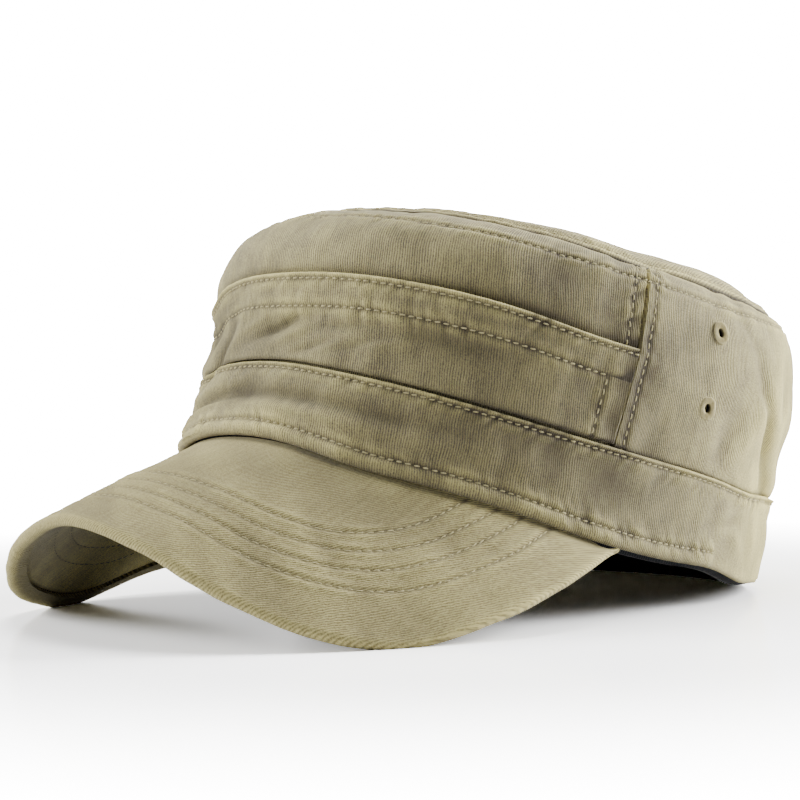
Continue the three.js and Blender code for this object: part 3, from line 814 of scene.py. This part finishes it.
side_level = np.concatenate((
    levels_of(PANEL_START, 1, 20, 3, (), False)[:-1],
    levels_of(1, 2, OVERLAY_TALL, 0.8, (0.8,), False)[:-1],
    levels_of(2, 3, SHOULDER_TALL, 0.8, (28, 30.5, 33, SHOULDER_TALL), False),
))
front_level = np.concatenate((
    levels_of(PANEL_START, 1.9, 46, 5, (), False)[:-1],
    levels_of(1.9, 2, 2.9, 0.5, (), False)[:-1],
    levels_of(2, 3, SHOULDER_TALL, 0.75, (0, 24, 26.5, 29, SHOULDER_TALL), False),
))
shown_tall = OVERLAY_TALL - 0.9
overlay_level = levels_of(1.03, 2, shown_tall, 0.72, (shown_tall - EDGE_STITCH, shown_tall - OVERLAY_ROW))
band_level = levels_of(0, 1, BAND_TALL, 0.8, (HEM_STITCH, BAND_TALL - EDGE_STITCH))


def folded_edge(distance, rise, wear_and_painted_light, at=0.7, wide=0.6, wear_at=0.6):
    """Ridge of a folded edge at a small distance from it, worn pale on its crest."""
    return rise * bell(distance - at, wide), wear_and_painted_light * bell(distance - wear_at, 0.6), 0


def under_top_seam(down, from_next_layer, wide):
    """Groove under the top seam with painted shade in it and a paler strip below it, and painted shade beside
    the next layer.
    """
    shade = 1.2 * bell(down, 0.9) + 0.5 * bell(from_next_layer, wide)
    return -0.6 * bell(down, 0.8), 0.5 * bell(down - 2.2, 1.0), shade


def tucked_in(relief, shown, turn, level):
    """The relief where the cloth shows; under the next layer its folds alone, HIDDEN_SINK further in."""
    rise, wear_and_painted_light, shade = folds(turn, level)
    hidden = rise - HIDDEN_SINK, wear_and_painted_light, shade
    return tuple(part * shown + under * (1 - shown) for part, under in zip(relief, hidden))


def front_panel():
    """Front of the crown: crown face with drawn-in rows, soft surface and folds, plain under the overlay."""
    turn, level, face, normal, across, up, down = wall(FRONT_TURNS, front_level)
    from_seam = np.minimum(across, across[-1:] - across)
    relief = together(
        drawn_in(down - top_stitch(turn), across, STITCH_PITCH, 1, 0.42, 0.4),
        soft_surface(across, up, 3),
        folds(turn, level),
        drawn_in(from_seam - SEAM_ROW, up, STITCH_PITCH, 5, 0.3),
        folded_edge(from_seam, 0.35, 0.9, 0.8, 0.7, 0.7),
        under_top_seam(down, level - 2.0, 0.05),
    )
    relief = tucked_in(relief, np.clip((level - 1.97) / 0.05, 0, 1), turn, level)
    skin = cloth("front_panel_cloth", face, normal, 0, -PANEL_WALL, relief, crown_twill, "front_panel",
                 edge=0.7)
    skin["turns"] = FRONT_TURNS
    return skin


def front_overlay():
    """Second layer over the lower front: crown face from level 1.03 to 2, with a box of stitched rows."""
    turn, level, face, normal, across, up, down = wall(FRONT_TURNS, overlay_level)
    from_end = np.minimum(across, across[-1:] - across)
    row, side_row = down - OVERLAY_ROW, from_end - SIDE_ROW
    box_row = np.where(row > 0, np.where(side_row > 0, np.minimum(row, side_row), side_row), row)
    relief = together(
        drawn_in(down - EDGE_STITCH, across, STITCH_PITCH, 7, 0.5, 0.4),
        folded_edge(down, 0.3, 1.1, wear_at=0.5),
        drawn_in(box_row, across + up, STITCH_PITCH, 9),
        soft_surface(across, up, 11, 1.25),
        folds(turn, level),
        folded_edge(from_end, 0.35, 0.9, wide=0.7),
        # Painted shade along its lower edge, where it goes under the band.
        (0, 0, 0.5 * bell(up, 0.9)),
    )
    return cloth("front_overlay_cloth", face, normal, GAP + OVERLAY_WALL, GAP, relief, crown_twill,
                 "front_overlay")


def level_at(height, turn):
    """Level at which the crown panels reach a height, at one turn."""
    tries = np.linspace(1, 3, 2001)
    return np.interp(height, crown_face(turn + 0 * tries, tries)[:, 2], tries)


def side_panel(side_name, side):
    """Side and back of the crown, with a hole at each eyelet.

    The grid lines nearest a hole are drawn to the sides of a square, and the square is then
    rounded: place * (1 + weight * (largest / radius - 1)), the weight falling to 0 around it.
    """
    turns = LEFT_TURNS if side > 0 else -LEFT_TURNS[::-1]
    turn, level = np.meshgrid(np.radians(turns), side_level, indexing="ij")
    keep = np.ones((len(turns) - 1, len(side_level) - 1), bool)
    at = math.radians(side * EYELET_TURN)
    for height in EYELET_HEIGHTS.values():
        middle = level_at(height, at)
        per_turn = np.linalg.norm(crown_face(at + 0.01, middle) - crown_face(at - 0.01, middle)) / 0.02
        per_level = np.linalg.norm(crown_face(at, middle + 0.01) - crown_face(at, middle - 0.01)) / 0.02
        a, b = (turn - at) * per_turn, (level - middle) * per_level
        for edge in (-EYELET_HOLE, EYELET_HOLE):
            a[np.argmin(np.abs(a[:, 0] - edge))] = edge
            b[:, np.argmin(np.abs(b[0] - edge))] = edge
        largest = np.maximum(np.abs(a), np.abs(b))
        radius = np.maximum(np.hypot(a, b), 1e-6)
        weight = np.clip((EYELET_REACH - largest) / (EYELET_REACH - EYELET_HOLE), 0, 1)
        scale = 1 + weight * (largest / radius - 1)
        cell_a, cell_b = (a[1:, 1:] + a[:-1, :-1]) / 2, (b[1:, 1:] + b[:-1, :-1]) / 2
        keep &= ~((np.abs(cell_a) < EYELET_HOLE) & (np.abs(cell_b) < EYELET_HOLE))
        near = largest < EYELET_REACH
        turn = np.where(near, at + a * scale / per_turn, turn)
        level = np.where(near, middle + b * scale / per_level, level)
    face, normal = crown_face(turn, level), crown_normal(turn, level)
    across, up = run_along(face, 0)
    down = up[:, -1:] - up
    from_front = across if side > 0 else across[-1:] - across
    from_back = across[-1:] - from_front
    relief = together(
        drawn_in(down - top_stitch(turn), across, STITCH_PITCH, 2, 0.42, 0.4),
        soft_surface(across, up, 13, 1.1),
        folds(turn, level),
        drawn_in(from_front - SEAM_ROW, up, STITCH_PITCH, 15, 0.4),
        drawn_in(from_back - SEAM_ROW, up, STITCH_PITCH, 17, 0.3),
        folded_edge(from_front, 0.3, 0.7, 0.8, 0.7, 0.8),
        folded_edge(from_back, 0.3, 0.7, 0.8, 0.7, 0.8),
        under_top_seam(down, level - 1.0, 0.04),
    )
    relief = tucked_in(relief, np.clip((level - 0.98) / 0.04, 0, 1), turn, level)
    name = f"side_panel_{side_name}"
    skin = cloth(f"{name}_cloth", face, normal, 0, -PANEL_WALL, relief, crown_twill, name,
                 keep=keep, edge=0.7, row=0)
    skin["turns"] = turns
    return skin


def band():
    """Hem band: crown face from level 0 to 1, drawn in by the edge row and by the hem row to its ends."""
    turn, level, face, normal, across, up, down = wall(ROUND_TURNS, band_level)
    from_front = np.abs(np.degrees(turn))
    sewn = np.clip((BACK_STITCH_END - from_front) / 1.5, 0, 1)
    rise, wear_and_painted_light, shade = together(
        drawn_in(down - EDGE_STITCH, across, STITCH_PITCH, 21, 0.5),
        folded_edge(down, 0.35, 1.1, wear_at=0.5),
        tuple(part * sewn for part in drawn_in(up - HEM_STITCH, across, STITCH_PITCH, 19, 0.6)),
        # A swell above the hem row, paler on it, and painted shade along the band's bottom edge.
        (0.5 * bell(up - 2.4, 1.7) * sewn, 0.2 * bell(up - 2.4, 1.5), 0.5 * bell(up, 0.8)),
        soft_surface(across, up, 0, 1.2),
        folds(turn, level),
        (0.3 * bell(from_front - 180 + 0.6, 0.5), 0, 0),
    )
    rise = np.where(up < 1.2, np.minimum(rise, 0.3), rise)
    # The band lies closer to the crown round the back.
    thin = 1 - 0.5 * np.clip((from_front - 105) / 25, 0, 1)
    return cloth("band_cloth", face, normal, GAP + BAND_WALL * thin, GAP, (rise, wear_and_painted_light, shade), band_twill,
                 "band", loop=True, edge=1.2)


def sweatband():
    """Tape between two faces inside the crown panels, its lower edge SWEATBAND_SHOW below the hem."""
    turn, level, face, normal, across, up, down = wall(ROUND_TURNS[::2], np.linspace(0, 1, 15))
    skins = [face - normal * (PANEL_WALL + GAP + depth) for depth in (0, SWEATBAND_WALL)]
    for skin in skins:
        skin[:, 0, 2] = hem_height(turn[:, 0]) - SWEATBAND_SHOW
    marks = skin_marks(across, up, 0 * up, 0 * up, 0)
    faces = shell_faces(np.ones((len(face), face.shape[1] - 1), bool), True)
    piece = new_piece("sweatband_tape", two_skins(*map(to_rest, skins)), faces, navy_tape, marks)
    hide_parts("sweatband")


def top_face(turn, share):
    """Top panel: share 1 at the seam to 0 at the middle, a rolled edge and then a shallow dome.

    z = seam height + roll height * (1 - (1 - distance / reach)^2.4) + TOP_DOME * (1 - share^2).
    """
    edge = crown_face(turn, 3 + 0 * turn)
    middle = SECTIONS["shift"][3] * HALF_LENGTH
    radius = np.hypot(edge[..., 0], edge[..., 1] - middle)
    scale = share * (1 - GAP / radius)
    inward = np.clip((1 - share) * radius / TOP_ROLL_REACH, 0, 1)
    ends = (TOP_ROLL["front"] + TOP_ROLL["back"]) / 2, (TOP_ROLL["front"] - TOP_ROLL["back"]) / 2
    level_part, doubled = (ends[0] + TOP_ROLL["side"]) / 2, (ends[0] - TOP_ROLL["side"]) / 2
    height = level_part + ends[1] * np.cos(turn) + doubled * np.cos(2 * turn)
    flat = SECTIONS["height"][3]
    height = height - TOP_SAG * bell_table(((TOP_SAG_TURN, 0, 20, 1, 0, 1),), turn, 0 * turn)
    z = flat + (edge[..., 2] - flat) * share + height * (1 - (1 - inward) ** 2.4) + TOP_DOME * (1 - share**2)
    return np.stack((edge[..., 0] * scale, middle + (edge[..., 1] - middle) * scale, z), -1)


def top_panel():
    """Top cloth over top_face, closed by a fan of triangles at its crest.

    Its edge turns down inside the walls and out under them, as its seam allowance does.
    """
    turns = np.radians(np.linspace(-180, 180, 481)[:-1])
    near_edge = 1 - finer_near(0, 15, 0.7, (0, TOP_ROW)) / TOP_RADIUS
    shares = np.concatenate((near_edge, np.linspace(0.79, 0.06, 18)))
    turn, share = np.meshgrid(turns, shares, indexing="ij")
    face = top_face(turn, share)
    normal = normal_of(top_face, turn, np.minimum(share, 0.985), 0.02, -0.01)
    across, inward = run_along(face)
    uneven = 0.4 * noise(across / 14, 0 * across, 8) * bell(inward - 4, 5) - 0.3 * bell(inward, 0.8)
    rise, wear_and_painted_light, shade = together(
        drawn_in(inward - TOP_ROW, across, STITCH_PITCH, 4, 0.3, 0.35),
        soft_surface(face[..., 0] + 90, face[..., 1] + 120, 6),
        # Painted shade in the seam groove at the edge, and a paler strip just inside it.
        (uneven, 0.8 * bell(inward - 2.4, 1.2), 1.3 * bell(inward, 1.1)),
    )
    rise = rise * np.clip(inward / 1.2, 0, 1) * np.clip(share / 0.3, 0, 1)
    edge = face[:, 0]
    outwards = unit(edge * (1, 1, 0) - (0, SECTIONS["shift"][3] * HALF_LENGTH, 0))
    turned = to_rest(np.stack([edge + outwards * out - (0, 0, drop) for out, drop in TURNED_EDGE], 1))
    outside = np.concatenate((turned[:, :2], to_rest(face + normal * rise[..., None])), axis=1)
    inside = np.concatenate((turned[:, 2:], to_rest(face - normal * PANEL_WALL)), axis=1)
    crest = to_rest(top_face(np.zeros(1), np.zeros(1)))
    points = np.concatenate((two_skins(outside, inside), crest, crest - (0, 0, PANEL_WALL)))
    columns, rows = outside.shape[:2]
    last = np.arange(columns) * rows + rows - 1
    after = np.roll(last, -1)
    under = columns * rows
    over = np.full(columns, 2 * under)
    faces = [
        shell_faces(np.ones((columns, rows - 1), bool), True, False),
        np.stack((last, after, over), -1),
        np.stack((after + under, last + under, over + 1), -1),
    ]
    with_edge = [0, 0, *range(len(shares))]
    marks = skin_marks(*(part[:, with_edge] for part in (face[..., 0], face[..., 1], wear_and_painted_light, shade)))
    at_crest = {"weave": np.zeros((2, 3)), "wear_and_painted_light": (0, 0), "shade": (0, 0.3)}
    marks = {mark: np.concatenate((values, at_crest[mark])) for mark, values in marks.items()}
    piece = new_piece("top_panel_cloth", points, faces, top_twill, marks)
    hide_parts("top_panel")
    return {"points": outside[:, 2:], "loop": True, "across": across, "up": inward}


# Peak


def crown_point(turn, level, out):
    """Crown face plus a distance along its normal."""
    return crown_face(turn, level) + crown_normal(turn, level) * out[..., None]


def ruling(along):
    """One straight line of the peak, from its seam on the hem to its rim."""
    row = (along + 1) * (len(RIM) - 1)
    turn = smooth_row(WHOLE_RIM[:, 0], row) * PEAK_END
    seam = crown_point(turn, 0 * turn, GAP + BAND_WALL / 2 + 0 * turn)
    seam[..., 2] = hem_height(turn) - PEAK_SEAM_DROP
    rim = np.stack((
        smooth_row(WHOLE_RIM[:, 1], row) * PEAK_HALF_WIDTH,
        PEAK_BACK_Y - smooth_row(WHOLE_RIM[:, 2], row) * PEAK_FORWARD,
        -smooth_row(WHOLE_RIM[:, 3], row) * PEAK_DROP,
    ), -1)
    return seam, rim


def peak_length(along):
    """Length of each ruling, hem to rim."""
    seam, rim = ruling(along)
    return np.linalg.norm(rim - seam, axis=-1)


def peak_face(along, distance):
    """Upper face of the peak: out along each ruling, raised by 4 * f * (1 - f) of its length."""
    seam, rim = ruling(along)
    length = np.linalg.norm(rim - seam, axis=-1)
    f = np.clip(distance / length, 0, 1)
    point = seam + (rim - seam) * (distance / length)[..., None]
    point[..., 2] += PEAK_SWELL * 4 * f * (1 - f) * np.minimum(length / PEAK_DROP, 1)
    return point


def peak_normal(along, distance):
    return normal_of(peak_face, np.clip(along, -0.99, 0.99), distance, 0.008, -0.5)


def row_distance(along, distance, spacing):
    """Signed distance to the nearest of the peak's stitched rows, and each row's own.

    A row lies at share * length * (1 - |along / end|^4.4); the difference in distance is
    divided by the length of its gradient over the cloth.
    """
    length = peak_length(along[:, :1])
    found = []
    for share, end in PEAK_STITCHES:
        at = share * length * (1 - np.minimum(np.abs(along / end), 1.6) ** ROW_POWER)
        slope = np.gradient(distance - at, axis=0) / spacing
        found.append((distance - at) / np.hypot(1, slope))
    return found


PEAK_ALONG = np.linspace(1, -1, 401)


def peak_relief(along, distance, spacing, seed, strength=1.0):
    """Relief of the peak's stitched rows, the cloth swelled between them, and its folded edge."""
    length = peak_length(along[:, :1]) + 0 * along
    across = np.cumsum(spacing, axis=0)
    parts = [soft_surface(across, distance, seed, 0.5 * strength)]
    for k, away in enumerate(row_distance(along, distance, spacing)):
        rise, wear_and_painted_light, shade = drawn_in(away, across, PEAK_PITCH, seed + 2 + k, 0.34, 0.12)
        parts.append((strength * rise, 0.6 * strength * wear_and_painted_light, 0.9 * strength * shade))
    from_rim = length - distance
    # The rim is worn pale, and a painted shadow of the band lies next to the hem seam. The wearer's left side
    # gets painted shade and the right side painted light, through the wear mark.
    parts.append((0, 0.4 * bell(from_rim - 1.0, 1.6), 0.5 * bell(distance, 1.5)))
    parts.append((0, 0, 0.16 * np.clip(along + 0.5, 0, 0.6) / 0.6))
    parts.append((0, 0.9 * np.clip(-0.1 - along, 0, 0.5) / 0.5, 0))
    return together(*parts)


def peak_cover():
    """Section out along the top, round the rolled rim and back underneath, in two skins.

    Round the rim an angle runs 0 to pi: centre + radius * (sin * outwards + cos * normal).
    """
    end_share = 1 - PEAK_TAPER * np.abs(PEAK_ALONG) ** 10
    outer = (PEAK_ROLL * end_share)[:, None]
    straight = peak_length(PEAK_ALONG)[:, None] - outer
    shares = np.linspace(0, 1, 91)
    along = PEAK_ALONG[:, None] + 0 * shares
    on_top = np.concatenate((np.full_like(straight, -PEAK_TUCK), straight * shares), axis=1)
    along = np.concatenate((along[:, :1], along), axis=1)
    face = peak_face(along, on_top)
    normal = peak_normal(along, np.maximum(on_top, 0))
    spacing = np.maximum(np.linalg.norm(np.gradient(face, axis=0), axis=-1), 0.05)
    rise, wear_and_painted_light, shade = peak_relief(along, on_top, spacing, 12)
    ends = np.clip((1 - np.abs(along)) / 0.03, 0, 1) * np.clip(on_top / 3, 0, 1)
    rise = rise * ends
    rim, up = face[:, -1], normal[:, -1]
    out = unit(peak_face(PEAK_ALONG, straight[:, 0] + 1) - rim)
    centre = rim - up * outer
    angles = np.linspace(0, math.pi, 9)[1:, None, None]
    turned = np.linspace(0.25, 1, 4)[:, None, None] * np.minimum(PEAK_WRAP, straight + PEAK_TUCK / 2)
    swell = rise[:, -1:]

    def skin(depth, relief):
        depth = depth * end_share[:, None]
        top = face + normal * (relief * rise - depth)[..., None]
        radius = outer - depth + relief * swell
        roll = centre + radius * (np.sin(angles) * out + np.cos(angles) * up)
        under = centre - turned * out - radius * up
        return to_rest(np.concatenate((top, np.moveaxis(roll, 0, 1), np.moveaxis(under, 0, 1)), axis=1))

    outside, inside = skin(0, 1), skin(PEAK_WALL, 0)
    inside[..., 2] = np.maximum(inside[..., 2], PEAK_WALL / 2)
    across, run = run_along(outside)
    extra = run.shape[1] - wear_and_painted_light.shape[1]
    wear_and_painted_light = np.concatenate((wear_and_painted_light, wear_and_painted_light[:, -1:] * np.linspace(1, 0, extra)), axis=1)
    # Painted shade from the rim's lower half onwards and on the cloth turned under it.
    turned_shade = np.clip((np.arange(extra) - 4) / 4, 0, 1) * 0.75
    shade = np.concatenate((shade, np.broadcast_to(turned_shade, (len(shade), extra))), axis=1)
    marks = skin_marks(outside[..., 0], run + outside[..., 1] * 0.2, wear_and_painted_light, shade)
    faces = shell_faces(np.ones((outside.shape[0] - 1, outside.shape[1] - 1), bool), False)
    piece = new_piece("peak_cover_cloth", two_skins(outside, inside), faces, peak_twill, marks)
    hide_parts("peak_cover")
    upper = outside[:, 1:1 + len(shares)]
    return {"points": upper, "loop": False, "distance": on_top[:, 1:], "along": PEAK_ALONG}


def peak_lining():
    """The lining fills the underside inside the cover's turned edge and stops short of the peak's ends."""
    alongs = np.linspace(-0.8, 0.8, 241)
    straight = peak_length(alongs) - PEAK_ROLL * (1 - PEAK_TAPER * np.abs(alongs) ** 10)
    end = np.maximum(straight - PEAK_WRAP - GAP, straight / 2)[:, None]
    shares = np.linspace(0, 1, 61)
    along = alongs[:, None] + 0 * shares
    distance = end * shares
    face, normal = peak_face(along, distance), peak_normal(along, distance)
    spacing = np.linalg.norm(np.gradient(face, axis=0), axis=-1)
    relief = peak_relief(along, distance, spacing, 16, 0.12)
    top = PEAK_WALL + GAP
    skin = cloth("peak_lining_cloth", face, -normal, top + LINING_WALL, top, relief, lining_twill,
                 "peak_lining", edge=0.6)
    skin.update(distance=distance, along=alongs)
    return skin


def peak_row(skin, share, end):
    """Path of one stitched row over a peak cloth, from hem to hem."""
    reach = end * 0.985
    along = np.linspace(-reach, reach, 420)
    distance = share * peak_length(along) * (1 - np.abs(along / end) ** ROW_POWER)
    columns = np.arange(len(skin["along"]))
    order = np.argsort(skin["along"])
    i = np.interp(along, skin["along"][order], columns[order])
    near = np.clip(np.round(i).astype(int), 0, len(columns) - 1)
    rows = np.arange(skin["distance"].shape[1])
    j = np.array([np.interp(d, skin["distance"][k], rows) for d, k in zip(distance, near)])
    return path_on(skin, i, j)


# Eyelets


def eyelet(side_name, side, place_name, height):
    """Embroidered ring: a closed section of radius and rise turned about the panel's normal.

    On the domed part the rise is multiplied by 1 + 0.14 * cos(threads * angle + skew * radius).
    """
    at = np.radians([side * EYELET_TURN])
    level = np.array([level_at(height, at)])
    base = to_rest(crown_face(at, level))[0]
    outward = unit(to_rest(crown_point(at, level, np.ones(1)))[0] - base)
    east = unit(np.cross((0, 0, 1), outward))
    north = np.cross(outward, east)
    section = np.array((
        (1.35, -1.6), (2.3, -1.6), (2.3, 0.05), (3.2, 0.0), (3.6, 0.0), (3.7, 0.1), (3.6, 0.32), (3.35, 0.5),
        (3.0, 0.62), (2.6, 0.66), (2.2, 0.6), (1.9, 0.45), (1.6, 0.2), (1.4, -0.15), (1.35, -0.8),
    ))
    domed = np.array([0, 0, 0, 0, 0.3, 0.7, 1, 1, 1, 1, 1, 1, 0.8, 0.3, 0])
    angle = np.linspace(0, 2 * math.pi, 241)[:-1]
    threads = 40
    wave = np.cos(threads * angle[:, None] + 0.35 * section[:, 0])
    wave = wave + 0.5 * noise(angle[:, None] * 12, section[:, 0] * 0.4, 20)
    radius = section[:, 0] * (1 + 0.02 * noise(3 + 3 * np.cos(angle), 3 + 3 * np.sin(angle), 21)[:, None])
    rise = section[:, 1] * (1 + 0.1 * domed * wave) + 0.05 * domed * wave
    ring = radius[..., None] * (np.cos(angle)[:, None, None] * east + np.sin(angle)[:, None, None] * north)
    points = base + ring + rise[..., None] * outward
    count, steps = len(angle), len(section)
    i, j = np.meshgrid(np.arange(count), np.arange(steps), indexing="ij")
    i1, j1 = (i + 1) % count, (j + 1) % steps
    faces = np.stack((i * steps + j, i1 * steps + j, i1 * steps + j1, i * steps + j1), -1).reshape(-1, 4)
    name = f"eyelet_{side_name}_{place_name}"
    # Painted shade: the inner wall of the hole is darkened.
    shade = np.broadcast_to(np.clip(0.25 - rise, 0, 1) * (section[:, 0] < 2), rise.shape).ravel()
    marks = {"shade": np.clip(2 * shade, 0, 1)}
    piece = new_piece(f"{name}_thread", points.reshape(-1, 3), faces, eyelet_thread, marks, smooth=70)
    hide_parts(name)


front = front_panel()
overlay = front_overlay()
left, right = side_panel("left", 1), side_panel("right", -1)
hem_band = band()
sweatband()
top = top_panel()
cover = peak_cover()
lining = peak_lining()
for side_name, side in (("left", 1), ("right", -1)):
    for place_name, height in EYELET_HEIGHTS.items():
        eyelet(side_name, side, place_name, height)

wide = overlay["across"][-1, 0]
sewn = np.searchsorted(ROUND_TURNS, (-BACK_STITCH_END, BACK_STITCH_END))
first, last = hem_band["across"][sewn, 0]
stitches("top_seam_stitches", [
    row_below_edge(skin, top_stitch(np.radians(skin["turns"]))) for skin in (front, left, right)
], khaki_thread, seed=1)
stitches("top_panel_stitches", [row_below_edge(top, TOP_ROW, from_top=False)], khaki_thread, seed=2)
stitches("overlay_stitches", [
    row_below_edge(overlay, EDGE_STITCH),
    row_below_edge(overlay, OVERLAY_ROW, SIDE_ROW, wide - SIDE_ROW),
    row_beside_seam(overlay, SIDE_ROW, 0.6, -OVERLAY_ROW),
    row_beside_seam(overlay, SIDE_ROW, 0.6, -OVERLAY_ROW, False),
], khaki_thread, seed=3)
stitches("band_stitches", [
    row_below_edge(hem_band, EDGE_STITCH),
    row_below_edge(hem_band, HEM_STITCH, first, last, from_top=False),
], khaki_thread, seed=4)
stitches("seam_stitches", [
    row_beside_seam(skin, SEAM_ROW, low, -1.5, from_start)
    for skin, low in ((left, 18), (right, 18), (front, 50)) for from_start in (True, False)
], khaki_thread, seed=5)
for name, skin, thread, radius, seed in (
    ("peak_stitches", cover, khaki_thread, 0.22, 6),
    ("lining_stitches", lining, lining_thread, 0.13, 7),
):
    stitches(name, [peak_row(skin, *row) for row in PEAK_STITCHES], thread, PEAK_PITCH, 2.4, radius, seed)

# Stage


def grey(value):
    return (value, value, value, 1)


floor_mesh = bpy.data.meshes.new("floor")
floor_mesh.from_pydata([(-60, -60, 0), (60, -60, 0), (60, 60, 0), (-60, 60, 0)], [], [(0, 1, 2, 3)])
floor = new_object("floor", floor_mesh)
floor_paint = bpy.data.materials.new("pale_floor")
floor_paint.use_nodes = True
floor_paint.node_tree.nodes.clear()
tiles = Wiring(floor_paint.node_tree)
# The floor looks brighter, and mirrors the cap more, than what it throws back on the cloth.
seen = tiles.add("ShaderNodeLightPath").outputs["Is Camera Ray"]
matt = tiles.add("ShaderNodeBsdfDiffuse", {"Color": tiles.mix(seen, grey(0.85), grey(3.2))})
mirrored = tiles.mix(seen, grey(0.02), grey(1))
gloss = tiles.add("ShaderNodeBsdfGlossy", {"Roughness": 0.13, "Color": mirrored})
sheen = tiles.add("ShaderNodeFresnel", {"IOR": 1.5})
finish = tiles.blend(sheen.outputs[0], matt.outputs[0], gloss.outputs[0])
# Far from the cap it fades into the white behind it.
place = tiles.add("ShaderNodeTexCoord").outputs["Object"]
far = tiles.add("ShaderNodeVectorMath", {0: place}, operation="LENGTH")
fade = tiles.add("ShaderNodeMapRange", {"Value": far.outputs["Value"], "From Min": 0.17, "From Max": 0.55},
                 interpolation_type="SMOOTHSTEP")
white = tiles.add("ShaderNodeEmission", {"Strength": 30.0})
faded = tiles.math("MULTIPLY", fade.outputs["Result"], seen)
tiles.add("ShaderNodeOutputMaterial", {"Surface": tiles.blend(faded, finish, white.outputs[0])})
floor_mesh.materials.append(floor_paint)

# White behind the cap in the picture, dim as a light on it.
world = bpy.data.worlds.new("studio")
world.use_nodes = True
bpy.context.scene.world = world
sky = Wiring(world.node_tree)
path = sky.add("ShaderNodeLightPath").outputs
strength = sky.math("ADD", sky.total((path["Is Glossy Ray"], 1.5), (path["Is Camera Ray"], 30.0)), 0.2)
sky.fill(world.node_tree.nodes["Background"], {"Strength": strength, "Color": grey(1)})


def soft_light(name, place, size, power):
    """Square area light at a place in metres, turned to the middle of the cap."""
    lamp = bpy.data.lights.new(name, "AREA")
    lamp.size = size
    lamp.energy = power
    holder = new_object(name, lamp)
    holder.location = place
    holder.rotation_euler = (Vector((0, 0, 0.06)) - Vector(place)).to_track_quat("-Z", "Y").to_euler()


soft_light("left_window", (-1.15, -1.0, 0.65), 0.8, 43)
soft_light("right_window", (0.6, 1.35, 0.6), 0.9, 77)
soft_light("top_box", (-0.2, 0.2, 1.6), 0.9, 29)

# Camera at the photograph's angle: turned about the cap, raised, and rolled a little.
TURN, HEIGHT, ROLL = math.radians(47.69124), math.radians(2.87986), math.radians(-0.655814)
DISTANCE = 0.8190986
AIM = Vector((0, 0.0046814537, 0.05))
PICTURE, SENSOR = 800, 36
FOCAL_PIXELS, MIDDLE_X, MIDDLE_Y = 2501.6427, 432.5873, 449.1703
right_way = Vector((math.cos(TURN), math.sin(TURN), 0))
back_way = Vector((math.sin(TURN) * math.cos(HEIGHT), -math.cos(TURN) * math.cos(HEIGHT), math.sin(HEIGHT)))
up_way = back_way.cross(right_way)
side_way = right_way * math.cos(ROLL) + up_way * math.sin(ROLL)
tall_way = up_way * math.cos(ROLL) - right_way * math.sin(ROLL)
turned = Matrix((side_way, tall_way, back_way)).transposed().to_4x4()
lens = bpy.data.cameras.new("camera")
camera = new_object("camera", lens)
camera.matrix_world = Matrix.Translation(AIM + back_way * DISTANCE) @ turned
lens.sensor_width = SENSOR
lens.lens = FOCAL_PIXELS / PICTURE * SENSOR
lens.shift_x = (PICTURE / 2 - MIDDLE_X) / PICTURE
lens.shift_y = (MIDDLE_Y - PICTURE / 2) / PICTURE
lens.clip_start = 0.01
bpy.context.scene.camera = camera
